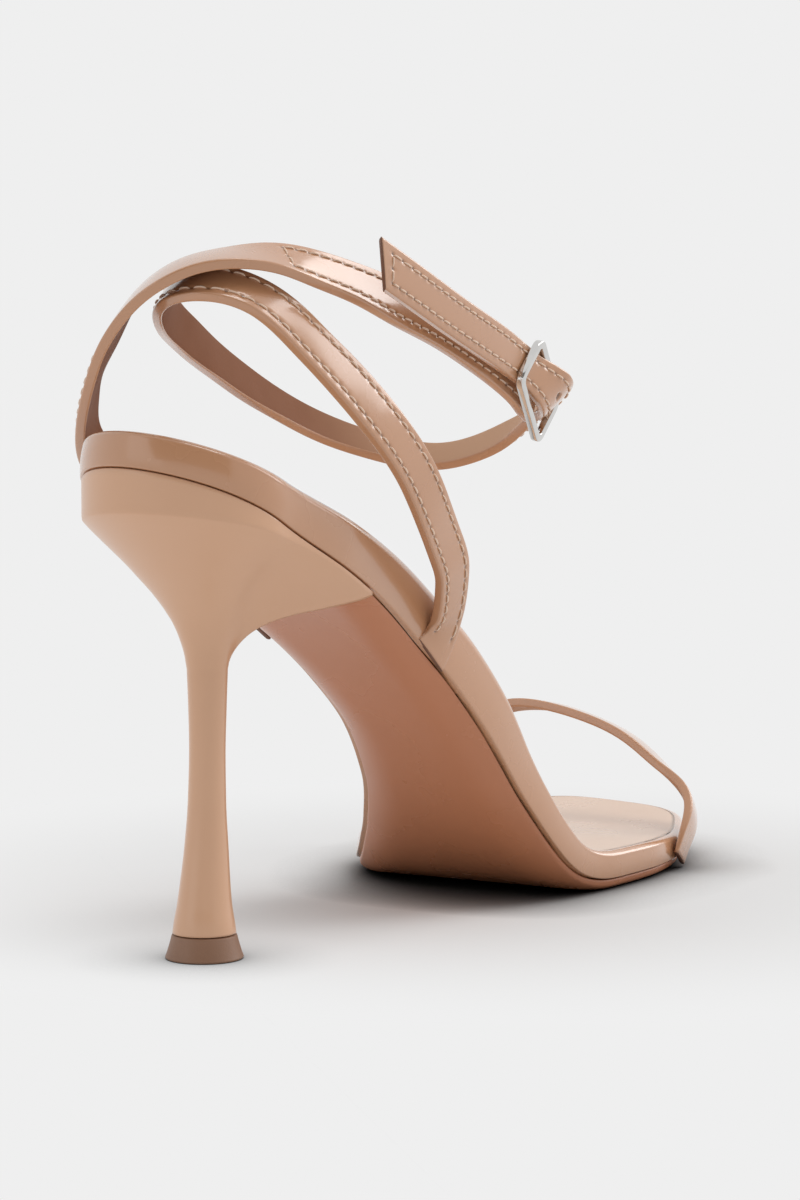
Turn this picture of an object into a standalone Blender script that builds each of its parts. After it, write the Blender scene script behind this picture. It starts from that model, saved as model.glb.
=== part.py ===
"""Ankle strap high heel, right shoe, standing empty on the floor.

Sizes are in millimetres in the tables below and are turned into metres when a mesh is made.
X runs toward the toe, Y toward the inner (medial) side, Z up.
The origin is the middle of the heel tip's tread, on the floor.
"""
import math
from collections import namedtuple

import bpy
import numpy as np

MM = 0.001
OBJECT = "ankle_strap_high_heel"
GAP = 0.3                  # clear space left between pieces that meet on a curved face

# Sole: one row per section along the bottom of the last.
# arc: length along the bottom from the back of the heel. slope: fall toward the toe in degrees.
# lateral, medial: half widths each side of the centre line. rim: height of the wrapped insole edge.
# lean: share of the slope that the edge leans forward by. roll: how far the inner side is raised.
Section = namedtuple("Section", "arc slope lateral medial rim lean roll")
SOLE = (
    Section(0, 21.3, 22.6, 22.2, 8.3, 0.35, 4.4),
    Section(22, 24.8, 22.6, 22.2, 8.7, 0.45, 4.0),
    Section(45, 25.7, 24.9, 23.9, 9.4, 0.65, 3.2),
    Section(75, 35.4, 24.2, 17.8, 10.2, 0.90, 3.0),
    Section(95, 43.6, 26.1, 12.8, 10.5, 1.00, 3.0),
    Section(110, 48.2, 27.6, 10.4, 9.9, 1.00, 2.4),
    Section(125, 50.4, 28.4, 11.9, 8.7, 1.00, 1.4),
    Section(140, 46.4, 29.9, 17.2, 7.5, 1.00, 0.4),
    Section(150, 38.3, 30.7, 22.6, 6.9, 1.00, 0.0),
    Section(164, 13.0, 31.6, 31.0, 6.0, 1.00, 0.0),
    Section(176, 0.0, 32.6, 36.6, 5.6, 1.00, 0.0),
    Section(190, 0.0, 33.0, 39.0, 5.5, 1.00, 0.0),
    Section(206, 0.0, 31.0, 37.6, 5.5, 1.00, 0.0),
    Section(220, -2.6, 27.2, 34.2, 5.4, 1.00, 0.0),
    Section(240, -3.6, 19.0, 25.4, 5.2, 1.00, 0.0),
    Section(256, -3.6, 12.4, 18.4, 5.2, 1.00, 0.0),
)
BACK_X = -25.1             # back of the heel seat
TREAD_HEIGHT = 2.6         # insole bottom above the floor at the ball
SOLE_LENGTH = 246.0        # arc from the back of the heel to the toe's front edge
HEEL_ROUND = 22.0          # length of the rounded heel end
TOE_ROUND = 16.0           # length of the rounded toe corners
HEEL_POWER = 1.95          # 2 would be a plain half ellipse
TOE_POWER = 3.4            # higher is squarer
TOE_SLANT = 0.20           # the inner corner of the toe reaches further forward
DISH = 0.9                 # hollow of the footbed

# Edge of the insole from its lower corner, over the side, to the start of the footbed.
Rim = namedtuple("Rim", "inset share")
INSOLE_RIM = (
    Rim(1.3, 0.0),
    Rim(0.25, 0.05),
    Rim(0.0, 0.30),
    Rim(0.0, 0.58),
    Rim(0.45, 0.82),
    Rim(1.5, 0.96),
    Rim(3.2, 1.0),
)

# Outsole: leather board glued under the insole, from the heel breast to the toe.
BREAST = 55.0              # arc at which the heel's front face stands
BREAST_HOLLOW = 2.5        # the heel's front edge bows back in its middle
OUTSOLE_THICK = TREAD_HEIGHT - GAP
# inset: board edge inside the insole edge. edge: thickness at the very edge. power: higher is flatter.
Crown = namedtuple("Crown", "arc inset edge power")
OUTSOLE_CROWN = (
    Crown(BREAST, 2.0, 0.9, 2.6),
    Crown(110, 2.0, 0.8, 2.6),
    Crown(150, 1.6, 0.9, 4.0),
    Crown(172, 1.0, 1.5, 12.0),
    Crown(260, 1.0, 1.5, 12.0),
)

# Heel: a goblet block that runs down into a thin round stem.
RIDGE_BACK = 88.6          # height of the ridge under the upright band, at the back
RIDGE_SLOPE = 0.21         # fall of that ridge per millimetre toward the toe
BLOCK_INSET = 0.5          # block edge inside the insole edge
NECK = 57.0                # height at which the goblet has become the stem
# fall: share of the way from ridge to neck. back, front: share of the spread from stem to edge.
Flare = namedtuple("Flare", "fall back front")
GOBLET = (
    Flare(0.0, 1.0, 1.0),
    Flare(0.06, 0.93, 0.93),
    Flare(0.125, 0.845, 0.80),
    Flare(0.19, 0.76, 0.64),
    Flare(0.25, 0.68, 0.49),
    Flare(0.31, 0.60, 0.36),
    Flare(0.375, 0.515, 0.27),
    Flare(0.5, 0.35, 0.16),
    Flare(0.6, 0.235, 0.10),
    Flare(0.7, 0.14, 0.06),
    Flare(0.8, 0.07, 0.03),
    Flare(0.9, 0.025, 0.012),
    Flare(1.0, 0.0, 0.0),
)
Ring = namedtuple("Ring", "height radius lean")
STEM = (
    Ring(57.0, 4.05, 1.1),
    Ring(50.0, 3.80, 1.1),
    Ring(41.0, 3.60, 1.0),
    Ring(31.0, 3.78, 0.8),
    Ring(21.4, 4.40, 0.5),
    Ring(15.5, 4.90, 0.2),
    Ring(10.5, 5.45, 0.0),
    Ring(7.0, 6.05, 0.0),
    Ring(5.0, 6.30, 0.0),
)
TOPLIFT_HEIGHT = 5.0 - GAP
TOPLIFT_TOP_RADIUS = 6.45
TOPLIFT_BASE_RADIUS = 7.75
STEM_SIDES = 48

# Straps: one row per point on the middle line.
# facing: compass direction of the outer face in degrees, 0 back, 90 outer side, -90 inner side.
# tilt: how far the outer face looks up, in degrees. width: strap width there.
Knot = namedtuple("Knot", "x y z facing tilt width")
STRAP_WIDTH = 9.5
STRAP_THICK = 2.0
W = STRAP_WIDTH
# From the outer side of the sole, back over the heel, inside of the loop, to the tail's cut end.
LONG_STRAP = (
    Knot(46.4, -25.6, 57.8, 85, 0, 11.0),
    Knot(48.7, -25.9, 60.6, 85, 0, 9.8),
    Knot(49.6, -26.4, 63.6, 85, 0, 9.4),
    Knot(49.2, -27.3, 66.8, 84, 0, 9.3),
    Knot(47.4, -28.9, 71.5, 81, 0, 9.7),
    Knot(45.2, -30.2, 75.3, 78, 3, 10.0),
    Knot(41.1, -31.2, 80.3, 74, 6, 10.0),
    Knot(33.9, -32.6, 87.5, 70, 10, 10.0),
    Knot(26.4, -33.1, 95.7, 68, 14, 10.0),
    Knot(15.6, -32.0, 105.8, 64, 22, 10.0),
    Knot(7.7, -29.6, 113.6, 58, 30, 10.0),
    Knot(-0.6, -26.2, 121.4, 52, 36, W),
    Knot(-9.3, -20.1, 129.6, 42, 50, W),
    Knot(-14.5, -12.8, 133.2, 24, 66, W),
    Knot(-14.9, -6.2, 132.7, -4, 68, 9.2),
    Knot(-12.2, -0.8, 129.9, -42, 50, 8.8),
    Knot(-6.2, 3.6, 127.6, -60, 20, 8.6),
    Knot(6.8, 9.3, 124.8, -66, 3, 8.6),
    Knot(17.1, 14.1, 121.3, -69, -1, 8.6),
    Knot(29.9, 17.6, 117.6, -74, -11, 8.6),
    Knot(42.9, 19.7, 113.5, -78, -18, 8.6),
    Knot(57.4, 20.1, 108.7, -83, -28, 8.6),
    Knot(72.9, 17.2, 103.0, -99, -40, 8.6),
    Knot(83.0, 9.2, 98.9, -126, -54, 8.6),
    Knot(87.0, -1.0, 97.1, -169, -59, 8.6),
    Knot(87.4, -11.0, 98.7, -201, -50, 8.6),
    Knot(86.2, -20.4, 102.2, -215, -44, 8.6),
    Knot(84.2, -29.4, 106.7, -240, -42, 8.6),
    Knot(81.2, -35.6, 109.4, -256, -22, 8.4),
    Knot(76.4, -38.5, 111.0, -264, -4, 8.2),
    Knot(71.3, -38.1, 112.8, -272, 0, 7.8),
    Knot(66.2, -36.6, 115.5, -278, 0, 7.8),
    Knot(54.5, -36.0, 120.4, -283, 2, 9.0),
    Knot(38.0, -36.0, 125.7, -288, 2, 9.0),
    Knot(23.0, -35.8, 130.9, -290, 2, 9.0),
    Knot(9.4, -35.4, 135.7, -290, 2, 9.0),
)
# From the inner side of the sole, round the back on the outside of the loop, to the buckle.
BUCKLE_STRAP = (
    Knot(44.8, 18.3, 62.6, -104, 0, 12.6),
    Knot(47.3, 18.4, 66.2, -104, 0, 10.6),
    Knot(48.4, 19.3, 70.0, -100, 0, 9.3),
    Knot(47.3, 21.0, 74.4, -92, 0, W),
    Knot(43.2, 23.4, 79.2, -83, 2, W),
    Knot(34.5, 26.2, 84.6, -79, 4, W),
    Knot(22.5, 28.2, 89.6, -75, 7, W),
    Knot(10.0, 28.6, 94.8, -69, 10, W),
    Knot(-0.8, 26.6, 101.0, -62, 14, W),
    Knot(-8.0, 22.2, 107.0, -57, 20, W),
    Knot(-12.8, 17.8, 112.0, -50, 26, W),
    Knot(-16.4, 12.3, 117.6, -40, 44, W),
    Knot(-18.7, 7.2, 122.9, -28, 55, W),
    Knot(-19.7, 1.7, 127.6, -12, 62, W),
    Knot(-19.1, -3.9, 131.5, 7, 70, W),
    Knot(-16.6, -9.6, 134.6, 23, 75, W),
    Knot(-11.9, -15.2, 136.4, 38, 73, W),
    Knot(-4.8, -20.0, 136.4, 50, 58, W),
    Knot(3.1, -23.3, 134.9, 58, 43, W),
    Knot(12.8, -26.1, 132.5, 62, 35, W),
    Knot(26.6, -28.4, 127.8, 66, 34, W),
    Knot(38.9, -30.0, 123.9, 70, 28, W),
    Knot(52.5, -31.4, 119.1, 76, 20, W),
    Knot(63.0, -32.6, 114.6, 84, 14, W),
    Knot(68.0, -32.7, 111.7, 90, 5, W),
    Knot(73.4, -32.1, 108.2, 92, 0, W),
)
TOE_STRAP = (
    Knot(149.5, -32.5, 3.0, 106, 0, 10.0),
    Knot(151.9, -32.1, 7.0, 107, 0, 9.6),
    Knot(155.9, -31.4, 11.8, 114, 8, W),
    Knot(159.8, -28.0, 16.6, 117, 26, W),
    Knot(162.2, -21.6, 21.2, 118, 46, W),
    Knot(163.8, -11.8, 27.8, 124, 63, W),
    Knot(164.6, 1.0, 32.6, 152, 77, W),
    Knot(164.4, 12.0, 34.8, 205, 80, W),
    Knot(163.4, 22.0, 34.2, 250, 66, W),
    Knot(161.8, 30.4, 30.0, 262, 46, W),
    Knot(159.6, 36.4, 22.2, 268, 26, W),
    Knot(157.0, 38.6, 13.0, 264, 8, W),
    Knot(154.4, 38.3, 7.0, 257, 0, 9.6),
    Knot(152.8, 38.5, 3.0, 256, 0, 11.0),
)
TAIL_CUT = -3.4            # the tail's upper corner reaches further than its lower one
STRAP_STEP = 4.6           # spacing of sections along a strap

# Buckle: a rectangular frame of flat wire.
BUCKLE_BACK_BAR = (64.8, -38.7, 117.8)
BUCKLE_FRONT_BAR = (75.9, -33.7, 106.2)
BUCKLE_BAR_RISE = (0.76, 0.07, 0.65)
BUCKLE_WIDTH = 12.4        # between the middles of the two side wires
BUCKLE_WIRE = 0.85         # radius of the wire
BUCKLE_CORNER = 2.2


def clear_scene():
    for thing in list(bpy.data.objects):
        bpy.data.objects.remove(thing, do_unlink=True)


def curve_through(knots, values, at):
    """Smooth curve through table values that never swings past them."""
    x = np.asarray(knots, float)
    y = np.asarray(values, float)
    at = np.clip(np.asarray(at, float), x[0], x[-1])
    h = np.diff(x)
    rise = np.diff(y) / h
    slope = np.zeros(len(x))
    w1 = 2 * h[1:] + h[:-1]
    w2 = h[1:] + 2 * h[:-1]
    same = rise[1:] * rise[:-1] > 0
    safe = np.where(same, rise[:-1], 1.0), np.where(same, rise[1:], 1.0)
    slope[1:-1] = np.where(same, (w1 + w2) / (w1 / safe[0] + w2 / safe[1]), 0.0)
    slope[0] = rise[0]
    slope[-1] = rise[-1]
    k = np.clip(np.searchsorted(x, at) - 1, 0, len(h) - 1)
    t = (at - x[k]) / h[k]
    a = (1 + 2 * t) * (1 - t) ** 2 * y[k] + t * t * (3 - 2 * t) * y[k + 1]
    return a + h[k] * (t * (1 - t) ** 2 * slope[k] - t * t * (1 - t) * slope[k + 1])


def column(rows, name, at):
    return curve_through([r[0] for r in rows], [getattr(r, name) for r in rows], at)


# Bottom line of the last, found by adding up short steps down the slope.
FINE = np.arange(0.0, 262.0, 0.25)
FALL = np.radians(column(SOLE, "slope", FINE))
LINE_X = BACK_X + np.concatenate([[0], np.cumsum(np.cos((FALL[1:] + FALL[:-1]) / 2) * 0.25)])
LINE_Z = -np.concatenate([[0], np.cumsum(np.sin((FALL[1:] + FALL[:-1]) / 2) * 0.25)])
LINE_Z = LINE_Z - LINE_Z[int(190 / 0.25)] + TREAD_HEIGHT


def place(arc, y, up):
    """Point at an arc length and side distance, a height above the last's bottom."""
    arc = np.asarray(arc, float)
    fall = np.interp(arc, FINE, FALL)
    beyond = np.minimum(arc, 0.0)
    x = np.interp(arc, FINE, LINE_X) + beyond * np.cos(FALL[0])
    z = np.interp(arc, FINE, LINE_Z) - beyond * np.sin(FALL[0])
    lean = fall * column(SOLE, "lean", arc)
    up = up + y * np.tan(np.radians(column(SOLE, "roll", arc)))
    return np.stack(np.broadcast_arrays(x + up * np.sin(lean), y, z + up * np.cos(lean)), -1)


def side_line(side, arc):
    """Side distance of the insole's edge: table width, closed by the round heel and the toe."""
    lateral = column(SOLE, "lateral", arc)
    medial = column(SOLE, "medial", arc)
    middle = (medial - lateral) / 2
    half = (medial + lateral) / 2
    back = np.clip((HEEL_ROUND - arc) / HEEL_ROUND, 0, 1)
    front = np.clip((arc - SOLE_LENGTH + TOE_ROUND) / TOE_ROUND, 0, 1)
    half = half * (1 - back ** HEEL_POWER) ** (1 / HEEL_POWER)
    half = half * (1 - front ** TOE_POWER) ** (1 / TOE_POWER)
    return middle + side * half


def edge(side, arc, inset):
    """Edge of the sole moved in by an inset. Gives arc lengths and side distances."""
    arc = np.asarray(arc, float)
    step = 0.02
    low = np.clip(arc - step, 0, SOLE_LENGTH)
    high = np.clip(arc + step, 0, SOLE_LENGTH)
    turn = side * (side_line(side, high) - side_line(side, low)) / (high - low)
    size = np.sqrt(1 + turn * turn)
    y = side_line(side, arc)
    out = arc + inset * turn / size
    middle = side_line(0, arc)
    ease = np.clip((arc - 200) / 46, 0, 1)
    slant = TOE_SLANT * (y - middle) * ease * ease * (3 - 2 * ease)
    return out + slant, y - side * inset / size


def spread(start, end, count):
    return list(np.linspace(start, end, count))


HEEL_ARCS = list(HEEL_ROUND * (1 - np.cos(np.radians(np.linspace(0, 90, 9)))))
TOE_ARCS = list(SOLE_LENGTH - TOE_ROUND * (1 - np.sin(np.radians(np.linspace(0, 90, 8)))))
SOLE_ARCS = HEEL_ARCS + spread(30, 222, 27) + TOE_ARCS
HEEL_SEAT_ARCS = HEEL_ARCS + spread(28, BREAST - GAP / 2, 6)
OUTSOLE_ARCS = spread(BREAST + 1.2, 222, 25) + TOE_ARCS


def mesh_object(name, points, faces, slot, collection):
    """One closed mesh from points in millimetres, with its faces turned outward."""
    mesh = bpy.data.meshes.new(name)
    mesh.from_pydata([tuple(p * MM) for p in np.asarray(points, float)], [], faces)
    mesh.validate()
    mesh.update()
    thing = bpy.data.objects.new(name, mesh)
    collection.objects.link(thing)
    bpy.context.view_layer.objects.active = thing
    thing.select_set(True)
    bpy.ops.object.mode_set(mode="EDIT")
    bpy.ops.mesh.select_all(action="SELECT")
    bpy.ops.mesh.remove_doubles(threshold=0.00001)
    bpy.ops.mesh.normals_make_consistent(inside=False)
    bpy.ops.object.mode_set(mode="OBJECT")
    thing.select_set(False)
    paint(thing, slot)
    return thing


def paint(thing, slot):
    material = bpy.data.materials.get(slot.name)
    if material is None:
        material = bpy.data.materials.new(slot.name)
        material.use_nodes = True
        shader = material.node_tree.nodes["Principled BSDF"]
        shader.inputs["Base Color"].default_value = (*slot.colour, 1)
        shader.inputs["Roughness"].default_value = slot.roughness
        shader.inputs["Metallic"].default_value = slot.metallic
    thing.data.materials.clear()
    thing.data.materials.append(material)


Slot = namedtuple("Slot", "name colour roughness metallic")
PATENT = Slot("patent_leather", (0.47, 0.29, 0.20), 0.25, 0.0)
SOLE_BOARD = Slot("sole_leather", (0.34, 0.17, 0.10), 0.45, 0.0)
HEEL_COVER = Slot("heel_cover", (0.50, 0.32, 0.22), 0.4, 0.0)
TIP_RUBBER = Slot("tip_rubber", (0.25, 0.13, 0.08), 0.6, 0.0)
STEEL = Slot("buckle_metal", (0.8, 0.8, 0.8), 0.15, 1.0)


def bridge(a, b):
    """Faces between two closed loops of the same length, given as point numbers."""
    n = len(a)
    return [(a[i], a[(i + 1) % n], b[(i + 1) % n], b[i]) for i in range(n)]


def build_insole(collection):
    """Insole board with its covering wrapped round the edge, one closed body."""
    arcs = np.array(SOLE_ARCS)
    inner = arcs[1:-1]
    points = []
    loops = []
    for row in INSOLE_RIM:
        s_l, y_l = edge(-1, inner, row.inset)
        s_m, y_m = edge(1, inner, row.inset)
        s = np.concatenate([[row.inset], s_l, [SOLE_LENGTH - row.inset], s_m[::-1]])
        y = np.concatenate([[side_line(0, 0.0)], y_l, [side_line(0, SOLE_LENGTH)], y_m[::-1]])
        up = row.share * column(SOLE, "rim", s)
        first = len(points)
        points.extend(place(s, y, up))
        loops.append(list(range(first, first + len(s))))
    faces = []
    for low, high in zip(loops, loops[1:]):
        faces += bridge(low, high)
    count = len(inner)
    faces += deck(points, loops[0], count, 4, 0.0)
    faces += deck(points, loops[-1], count, 6, DISH)
    return mesh_object("insole", points, faces, PATENT, collection)


def deck(points, loop, count, columns, dish):
    """Face strips that close a sole loop from side to side, hollowed by dish."""
    rows = []
    for i in range(count):
        left = np.array(points[loop[1 + i]])
        right = np.array(points[loop[-1 - i]])
        row = [loop[1 + i]]
        for k in range(1, columns):
            share = k / columns
            point = left + (right - left) * share
            wide = min(1.0, abs(right[1] - left[1]) / 40.0)
            depth = dish * wide * (1 - (2 * share - 1) ** 4)
            row.append(len(points))
            points.append(point - np.array([0, 0, depth]))
        row.append(loop[-1 - i])
        rows.append(row)
    faces = []
    for a, b in zip(rows, rows[1:]):
        faces += [(a[k], a[k + 1], b[k + 1], b[k]) for k in range(columns)]
    heel = loop[0]
    toe = loop[1 + count]
    faces += [(heel, rows[0][k + 1], rows[0][k]) for k in range(columns)]
    faces += [(toe, rows[-1][k], rows[-1][k + 1]) for k in range(columns)]
    return faces


def build_outsole(collection):
    """Sole board under the insole: crowned at the waist, flat where it treads."""
    arcs = np.array(OUTSOLE_ARCS)[:-1]
    across = np.array([-1.0, -0.93, -0.8, -0.55, 0.0, 0.55, 0.8, 0.93, 1.0])
    inset = column(OUTSOLE_CROWN, "inset", arcs)
    s_l, y_l = edge(-1, arcs, inset)
    s_m, y_m = edge(1, arcs, inset)
    share = (across + 1) / 2
    s = s_l[:, None] * (1 - share) + s_m[:, None] * share
    y = y_l[:, None] * (1 - share) + y_m[:, None] * share
    thin = column(OUTSOLE_CROWN, "edge", arcs)[:, None]
    power = column(OUTSOLE_CROWN, "power", arcs)[:, None]
    depth = thin + (OUTSOLE_THICK - thin) * (1 - np.abs(across) ** power)
    top = place(s, y, np.full_like(s, -GAP))
    bottom = place(s, y, -GAP - depth)
    tread = np.abs(bottom[..., 2]) < 0.02
    bottom[..., 2] = np.where(tread, 0.0, bottom[..., 2])
    rows, cols = s.shape
    toe_s = SOLE_LENGTH - inset[-1]
    toe_y = side_line(0, SOLE_LENGTH)
    points = list(top.reshape(-1, 3)) + list(bottom.reshape(-1, 3))
    points += [place(toe_s, toe_y, -GAP), place(toe_s, toe_y, -GAP - thin[-1, 0])]
    half = rows * cols
    faces = []
    for i in range(rows - 1):
        for k in range(cols - 1):
            a = i * cols + k
            faces.append((a, a + 1, a + cols + 1, a + cols))
            faces.append((half + a, half + a + cols, half + a + cols + 1, half + a + 1))
    for i in range(rows - 1):
        for k in (0, cols - 1):
            a = i * cols + k
            faces.append((a, a + cols, half + a + cols, half + a))
    for k in range(cols - 1):
        faces.append((k, k + 1, half + k + 1, half + k))
        a = (rows - 1) * cols + k
        faces.append((a, a + 1, 2 * half))
        faces.append((half + a, half + a + 1, 2 * half + 1))
    for k in (0, cols - 1):
        a = (rows - 1) * cols + k
        faces.append((a, half + a, 2 * half + 1, 2 * half))
    return mesh_object("outsole", points, faces, SOLE_BOARD, collection)


def build_heel(collection):
    """Heel block: seat edge, upright band, goblet and stem, one closed loft."""
    arcs = np.array(HEEL_SEAT_ARCS)
    cols = 8
    share = np.linspace(0, 1, cols + 1)
    s_l, y_l = edge(-1, arcs[1:], BLOCK_INSET)
    s_m, y_m = edge(1, arcs[1:], BLOCK_INSET)
    bow = BREAST_HOLLOW * (1 - (2 * share[1:-1] - 1) ** 2)
    s_f = arcs[-1] - bow
    y_f = y_l[-1] + (y_m[-1] - y_l[-1]) * share[1:-1]
    s = np.concatenate([[BLOCK_INSET], s_l, s_f, s_m[::-1]])
    y = np.concatenate([[side_line(0, 0.0)], y_l, y_f, y_m[::-1]])
    seat = place(s, y, np.full(len(s), -GAP))
    points = list(seat)
    count = len(s)
    loops = [list(range(count))]
    ridge = np.minimum(RIDGE_BACK - RIDGE_SLOPE * (seat[:, 0] - BACK_X), seat[:, 2] - 0.8)
    stem = STEM[0]
    away = seat[:, :2] - np.array([stem.lean, 0.0])
    angle = np.arctan2(away[:, 1], away[:, 0])
    ring = np.stack([np.cos(angle), np.sin(angle)], -1) * stem.radius
    turn = np.degrees(np.abs(angle))
    ahead = np.clip((100 - turn) / 50, 0, 1)
    ahead = ahead * ahead * (3 - 2 * ahead)
    for row in GOBLET:
        spread_out = row.back + (row.front - row.back) * ahead
        flat = ring + (away - ring) * spread_out[:, None]
        z = ridge + (NECK - ridge) * row.fall
        first = len(points)
        points += [np.array([p[0] + stem.lean, p[1], h]) for p, h in zip(flat, z)]
        loops.append(list(range(first, first + count)))
    for row in STEM[1:]:
        first = len(points)
        for a in angle:
            x = row.lean + row.radius * math.cos(a)
            points.append(np.array([x, row.radius * math.sin(a), row.height]))
        loops.append(list(range(first, first + count)))
    faces = []
    for a, b in zip(loops, loops[1:]):
        faces += bridge(a, b)
    faces.append(tuple(loops[-1]))
    side = len(arcs) - 1
    rows = []
    for i in range(side):
        left = 1 + i
        right = count - 1 - i
        if i == side - 1:
            row = list(range(left, left + cols + 1))
        else:
            row = [left]
            for k in range(1, cols):
                row.append(len(points))
                at = share[k]
                points.append(place(s[left] + (s[right] - s[left]) * at,
                                    y[left] + (y[right] - y[left]) * at, -GAP))
            row.append(right)
        rows.append(row)
    for a, b in zip(rows, rows[1:]):
        faces += [(a[k], a[k + 1], b[k + 1], b[k]) for k in range(cols)]
    faces += [(0, rows[0][k + 1], rows[0][k]) for k in range(cols)]
    return mesh_object("heel", points, faces, HEEL_COVER, collection)


def build_toplift(collection):
    bpy.ops.mesh.primitive_cone_add(
        vertices=STEM_SIDES, radius1=TOPLIFT_BASE_RADIUS * MM, radius2=TOPLIFT_TOP_RADIUS * MM,
        depth=TOPLIFT_HEIGHT * MM, location=(0, 0, TOPLIFT_HEIGHT * MM / 2))
    thing = bpy.context.active_object
    bpy.ops.object.transform_apply(location=True, rotation=True, scale=True)
    thing.name = "toplift"
    thing.data.name = "toplift"
    for owner in list(thing.users_collection):
        owner.objects.unlink(thing)
    collection.objects.link(thing)
    paint(thing, TIP_RUBBER)
    return thing


def natural_spline(values, at, knots):
    """Natural cubic spline through values at knots, read at the given places."""
    n = len(knots)
    h = np.diff(knots)
    matrix = np.eye(n)
    right = np.zeros((n, values.shape[1]))
    for i in range(1, n - 1):
        matrix[i, i - 1:i + 2] = h[i - 1] / 6, (h[i - 1] + h[i]) / 3, h[i] / 6
        right[i] = (values[i + 1] - values[i]) / h[i] - (values[i] - values[i - 1]) / h[i - 1]
    bend = np.linalg.solve(matrix, right)
    k = np.clip(np.searchsorted(knots, at) - 1, 0, n - 2)
    a = ((knots[k + 1] - at) / h[k])[:, None]
    b = 1 - a
    size = (h[k] ** 2 / 6)[:, None]
    return (a * values[k] + b * values[k + 1]
            + ((a ** 3 - a) * bend[k] + (b ** 3 - b) * bend[k + 1]) * size)


def strap_frame(rows):
    """Middle line, width direction, outer face direction and width at even steps."""
    middle = np.array([(r.x, r.y, r.z) for r in rows])
    along = np.concatenate([[0], np.cumsum(np.linalg.norm(np.diff(middle, axis=0), axis=1))])
    count = int(round(along[-1] / STRAP_STEP)) + 1
    at = np.linspace(0, along[-1], count)
    path = natural_spline(middle, at, along)
    facing = np.radians(np.interp(at, along, [r.facing for r in rows]))
    tilt = np.radians(np.interp(at, along, [r.tilt for r in rows]))
    width = np.interp(at, along, [r.width for r in rows])
    run = np.gradient(path, axis=0)
    run /= np.linalg.norm(run, axis=1)[:, None]
    face = np.stack([-np.cos(facing) * np.cos(tilt), -np.sin(facing) * np.cos(tilt),
                     np.sin(tilt)], -1)
    face -= run * np.sum(face * run, axis=1)[:, None]
    face /= np.linalg.norm(face, axis=1)[:, None]
    cross = np.cross(face, run)
    return path, cross, face, width


def build_strap(name, rows, collection, cut=0.0):
    """Rounded strap section carried along its middle line."""
    path, cross, face, width = strap_frame(rows)
    run = np.cross(cross, face)
    e = STRAP_THICK / 2
    section = ((-0.5, 0.0, 0), (-0.5, 0.55, 0.35), (-0.5, 1.0, 0.95), (0.5, 1.0, -0.95),
               (0.5, 0.55, -0.35), (0.5, 0.0, 0), (0.5, -0.55, -0.35), (0.5, -1.0, -0.95),
               (-0.5, -1.0, 0.95), (-0.5, -0.55, 0.35))
    points = []
    loops = []
    for i in range(len(path)):
        first = len(points)
        for wide, thick, pull in section:
            across = wide * width[i] + pull
            point = path[i] + cross[i] * across + face[i] * (thick * e)
            if i == len(path) - 1:
                point = point + run[i] * (cut * across / width[i])
            points.append(point)
        loops.append(list(range(first, first + len(section))))
    faces = [tuple(loops[0]), tuple(loops[-1])]
    for a, b in zip(loops, loops[1:]):
        faces += bridge(a, b)
    return mesh_object(name, points, faces, PATENT, collection)


def build_ankle_strap(collection, cutters):
    """Both ankle straps, joined in one body where they cross behind the heel."""
    strap = build_strap("ankle_strap", LONG_STRAP, collection, TAIL_CUT)
    other = build_strap("buckle_strap_tool", BUCKLE_STRAP, cutters)
    other.hide_render = True
    other.display_type = "WIRE"
    join = strap.modifiers.new("join", "BOOLEAN")
    join.operation = "UNION"
    join.solver = "EXACT"
    join.object = other
    return strap


def build_buckle(collection):
    """Closed wire rectangle with rounded corners, as a bevelled curve."""
    back = np.array(BUCKLE_BACK_BAR)
    front = np.array(BUCKLE_FRONT_BAR)
    run = front - back
    length = np.linalg.norm(run)
    run = run / length
    rise = np.array(BUCKLE_BAR_RISE)
    rise = rise - run * np.dot(rise, run)
    rise = rise / np.linalg.norm(rise)
    middle = (back + front) / 2
    corners = []
    for u, v, start in ((1, 1, 0), (-1, 1, 90), (-1, -1, 180), (1, -1, 270)):
        for turn in (0, 30, 60, 90):
            a = math.radians(start + turn)
            x = u * (length / 2 - BUCKLE_CORNER) + BUCKLE_CORNER * math.cos(a)
            y = v * (BUCKLE_WIDTH / 2 - BUCKLE_CORNER) + BUCKLE_CORNER * math.sin(a)
            corners.append(middle + run * x + rise * y)
    shape = bpy.data.curves.new("buckle_frame", "CURVE")
    shape.dimensions = "3D"
    shape.bevel_depth = BUCKLE_WIRE * MM
    shape.bevel_resolution = 2
    spline = shape.splines.new("POLY")
    spline.points.add(len(corners) - 1)
    for point, corner in zip(spline.points, corners):
        point.co = (*(corner * MM), 1)
    spline.use_cyclic_u = True
    thing = bpy.data.objects.new("buckle_frame", shape)
    collection.objects.link(thing)
    paint(thing, STEEL)
    return thing


clear_scene()
parts = bpy.data.collections.new(OBJECT)
tools = bpy.data.collections.new("cutters")
bpy.context.scene.collection.children.link(parts)
bpy.context.scene.collection.children.link(tools)
build_insole(parts)
build_outsole(parts)
build_heel(parts)
build_toplift(parts)
build_strap("toe_strap", TOE_STRAP, parts)
build_ankle_strap(parts, tools)
build_buckle(parts)
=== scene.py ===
"""Looks of an ankle strap high heel: a nude patent sandal, right shoe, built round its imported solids.

Tables are in millimetres and meshes in metres. X runs toward the toe, Y toward the inner side, Z up.
"""
from collections import namedtuple

import bpy
import numpy as np
from mathutils import Matrix


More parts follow.
